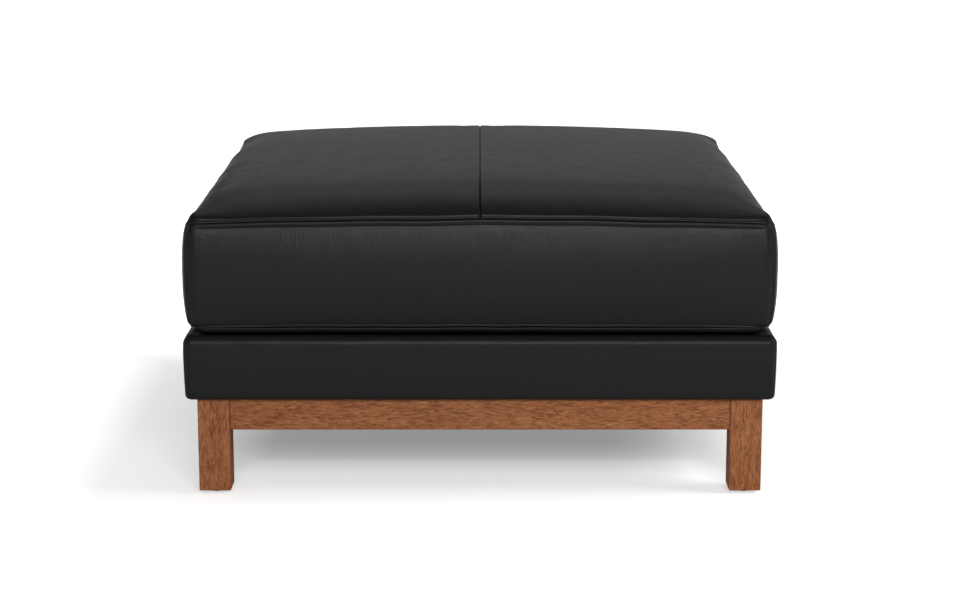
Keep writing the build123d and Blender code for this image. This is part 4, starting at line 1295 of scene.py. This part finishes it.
class OTTOMAN_OT_cushion(bpy.types.Operator):
    """Make the loose cushion's cover"""

    bl_idname = "ottoman.cushion"
    bl_label = "Cushion cover"

    def execute(self, context):
        panels = make_cushion_cover()
        for name in ("boxing_back_lower", "boxing_back_upper"):
            cut_zip_slot(panels[name])
        return {"FINISHED"}


class OTTOMAN_OT_filling(bpy.types.Operator):
    """Make the cushion's foam and wrap"""

    bl_idname = "ottoman.filling"
    bl_label = "Cushion filling"

    def execute(self, context):
        core = soft_block("cushion_core_block", "cushion_core", "foam", "cushion", CORE_ROLL)
        slab = node_copy("crown_foam_slab", "cushion_crown_foam", "foam", "cushion")
        make_wrap("cushion_wrap_top_batt", "cushion_wrap_top", True)
        make_wrap("cushion_wrap_bottom_batt", "cushion_wrap_bottom", False)
        return {"FINISHED"}


class OTTOMAN_OT_zip(bpy.types.Operator):
    """Make the zip along the cushion's back"""

    bl_idname = "ottoman.zip"
    bl_label = "Zip"

    def execute(self, context):
        for half in ("upper", "lower"):
            node_name = f"zip_tape_{half}"
            tape = node_copy(f"{node_name}_cloth", node_name, "zip_tape", "cushion")
        paint_nodes(["zip_coil_upper", "zip_coil_lower"], "zip_coil")
        paint_nodes(["zip_slider", "zip_pull"], "zip_metal")
        return {"FINISHED"}


class OTTOMAN_OT_stage(bpy.types.Operator):
    """Make the floor, the lamps and the camera"""

    bl_idname = "ottoman.stage"
    bl_label = "Stage"

    def execute(self, context):
        scene = context.scene
        stage = scene.stage
        scene.view_settings.view_transform = "Standard"
        bm = bmesh.new()
        bmesh.ops.create_grid(bm, x_segments=1, y_segments=1, size=40)
        mesh = bpy.data.meshes.new("floor")
        bm.to_mesh(mesh)
        bm.free()
        floor = bpy.data.objects.new("floor", mesh)
        scene.collection.objects.link(floor)
        floor_material(stage.floor_colour)
        mesh.materials.append(finished("floor"))
        world = bpy.data.worlds.new("studio")
        scene.world = world
        world.use_nodes = True
        tree = world.node_tree
        # White to the camera, and a soft fill for the object
        strength = node(tree, "ShaderNodeMix")
        seen = node(tree, "ShaderNodeLightPath").outputs["Is Camera Ray"]
        for index, value in ((0, seen), (2, WORLD_LIGHT), (3, 1.0)):
            feed(strength.inputs[index], value)
        set_inputs(tree.nodes["Background"], Color=(1, 1, 1, 1), Strength=strength.outputs[0])
        for name, place, target, (width, height), watts in (
            ("back_lamp", (0.4, 4.2, 1.35), (0, 0.1, 0.45), (4.0, 1.0), 4.6),
            ("top_lamp", (0.1, 1.2, 2.7), (0, 0, 0.4), (2.4, 2.4), 15),
            ("front_lamp", (0.3, -4.2, 1.8), (0, 0, 0.35), (2.4, 0.8), 118),
            ("right_lamp", (3.0, -0.7, 2.0), (0, 0, 0.2), (1.3, 1.3), 55),
        ):
            lamp = bpy.data.lights.new(name, "AREA")
            lamp.shape = "RECTANGLE"
            lamp.size = width
            lamp.size_y = height
            lamp.energy = watts
            holder = bpy.data.objects.new(name, lamp)
            holder.location = place
            direction = Vector(target) - Vector(place)
            holder.rotation_euler = direction.to_track_quat("-Z", "Y").to_euler()
            scene.collection.objects.link(holder)
        camera = bpy.data.cameras.new("camera")
        camera.lens = stage.camera_lens
        camera.sensor_width = 36
        camera.clip_end = 200
        holder = bpy.data.objects.new("camera", camera)
        holder.location = (0, -stage.camera_distance, stage.camera_height)
        holder.rotation_euler = (QUARTER_TURN - stage.camera_pitch, 0, 0)
        scene.collection.objects.link(holder)
        scene.camera = holder
        return {"FINISHED"}


class OTTOMAN_PT_panel(bpy.types.Panel):
    """The ottoman's tools in the sidebar"""

    bl_label = "Ottoman"
    bl_idname = "OTTOMAN_PT_panel"
    bl_space_type = "VIEW_3D"
    bl_region_type = "UI"
    bl_category = "Ottoman"

    def draw(self, context):
        for operator in OPERATORS:
            self.layout.operator(operator.bl_idname)


SETTINGS = (
    ("cushion", CushionSettings),
    ("base", BaseSettings),
    ("finish", FinishSettings),
    ("stage", StageSettings),
)
OPERATORS = (
    OTTOMAN_OT_finishes,
    OTTOMAN_OT_leg_frame,
    OTTOMAN_OT_base,
    OTTOMAN_OT_cushion,
    OTTOMAN_OT_filling,
    OTTOMAN_OT_zip,
    OTTOMAN_OT_stage,
)


def register():
    """Registers the settings, the operators and the panel."""
    for name, group in SETTINGS:
        bpy.utils.register_class(group)
        setattr(bpy.types.Scene, name, bpy.props.PointerProperty(type=group))
    for item in (*OPERATORS, OTTOMAN_PT_panel):
        bpy.utils.register_class(item)


def unregister():
    """Takes them away again."""
    for item in (OTTOMAN_PT_panel, *reversed(OPERATORS)):
        bpy.utils.unregister_class(item)
    for name, group in reversed(SETTINGS):
        delattr(bpy.types.Scene, name)
        bpy.utils.unregister_class(group)


def main():
    """Makes the whole ottoman and its stage."""
    register()
    for operator in OPERATORS:
        area, name = operator.bl_idname.split(".")
        getattr(getattr(bpy.ops, area), name)()


if __name__ == "__main__":
    main()
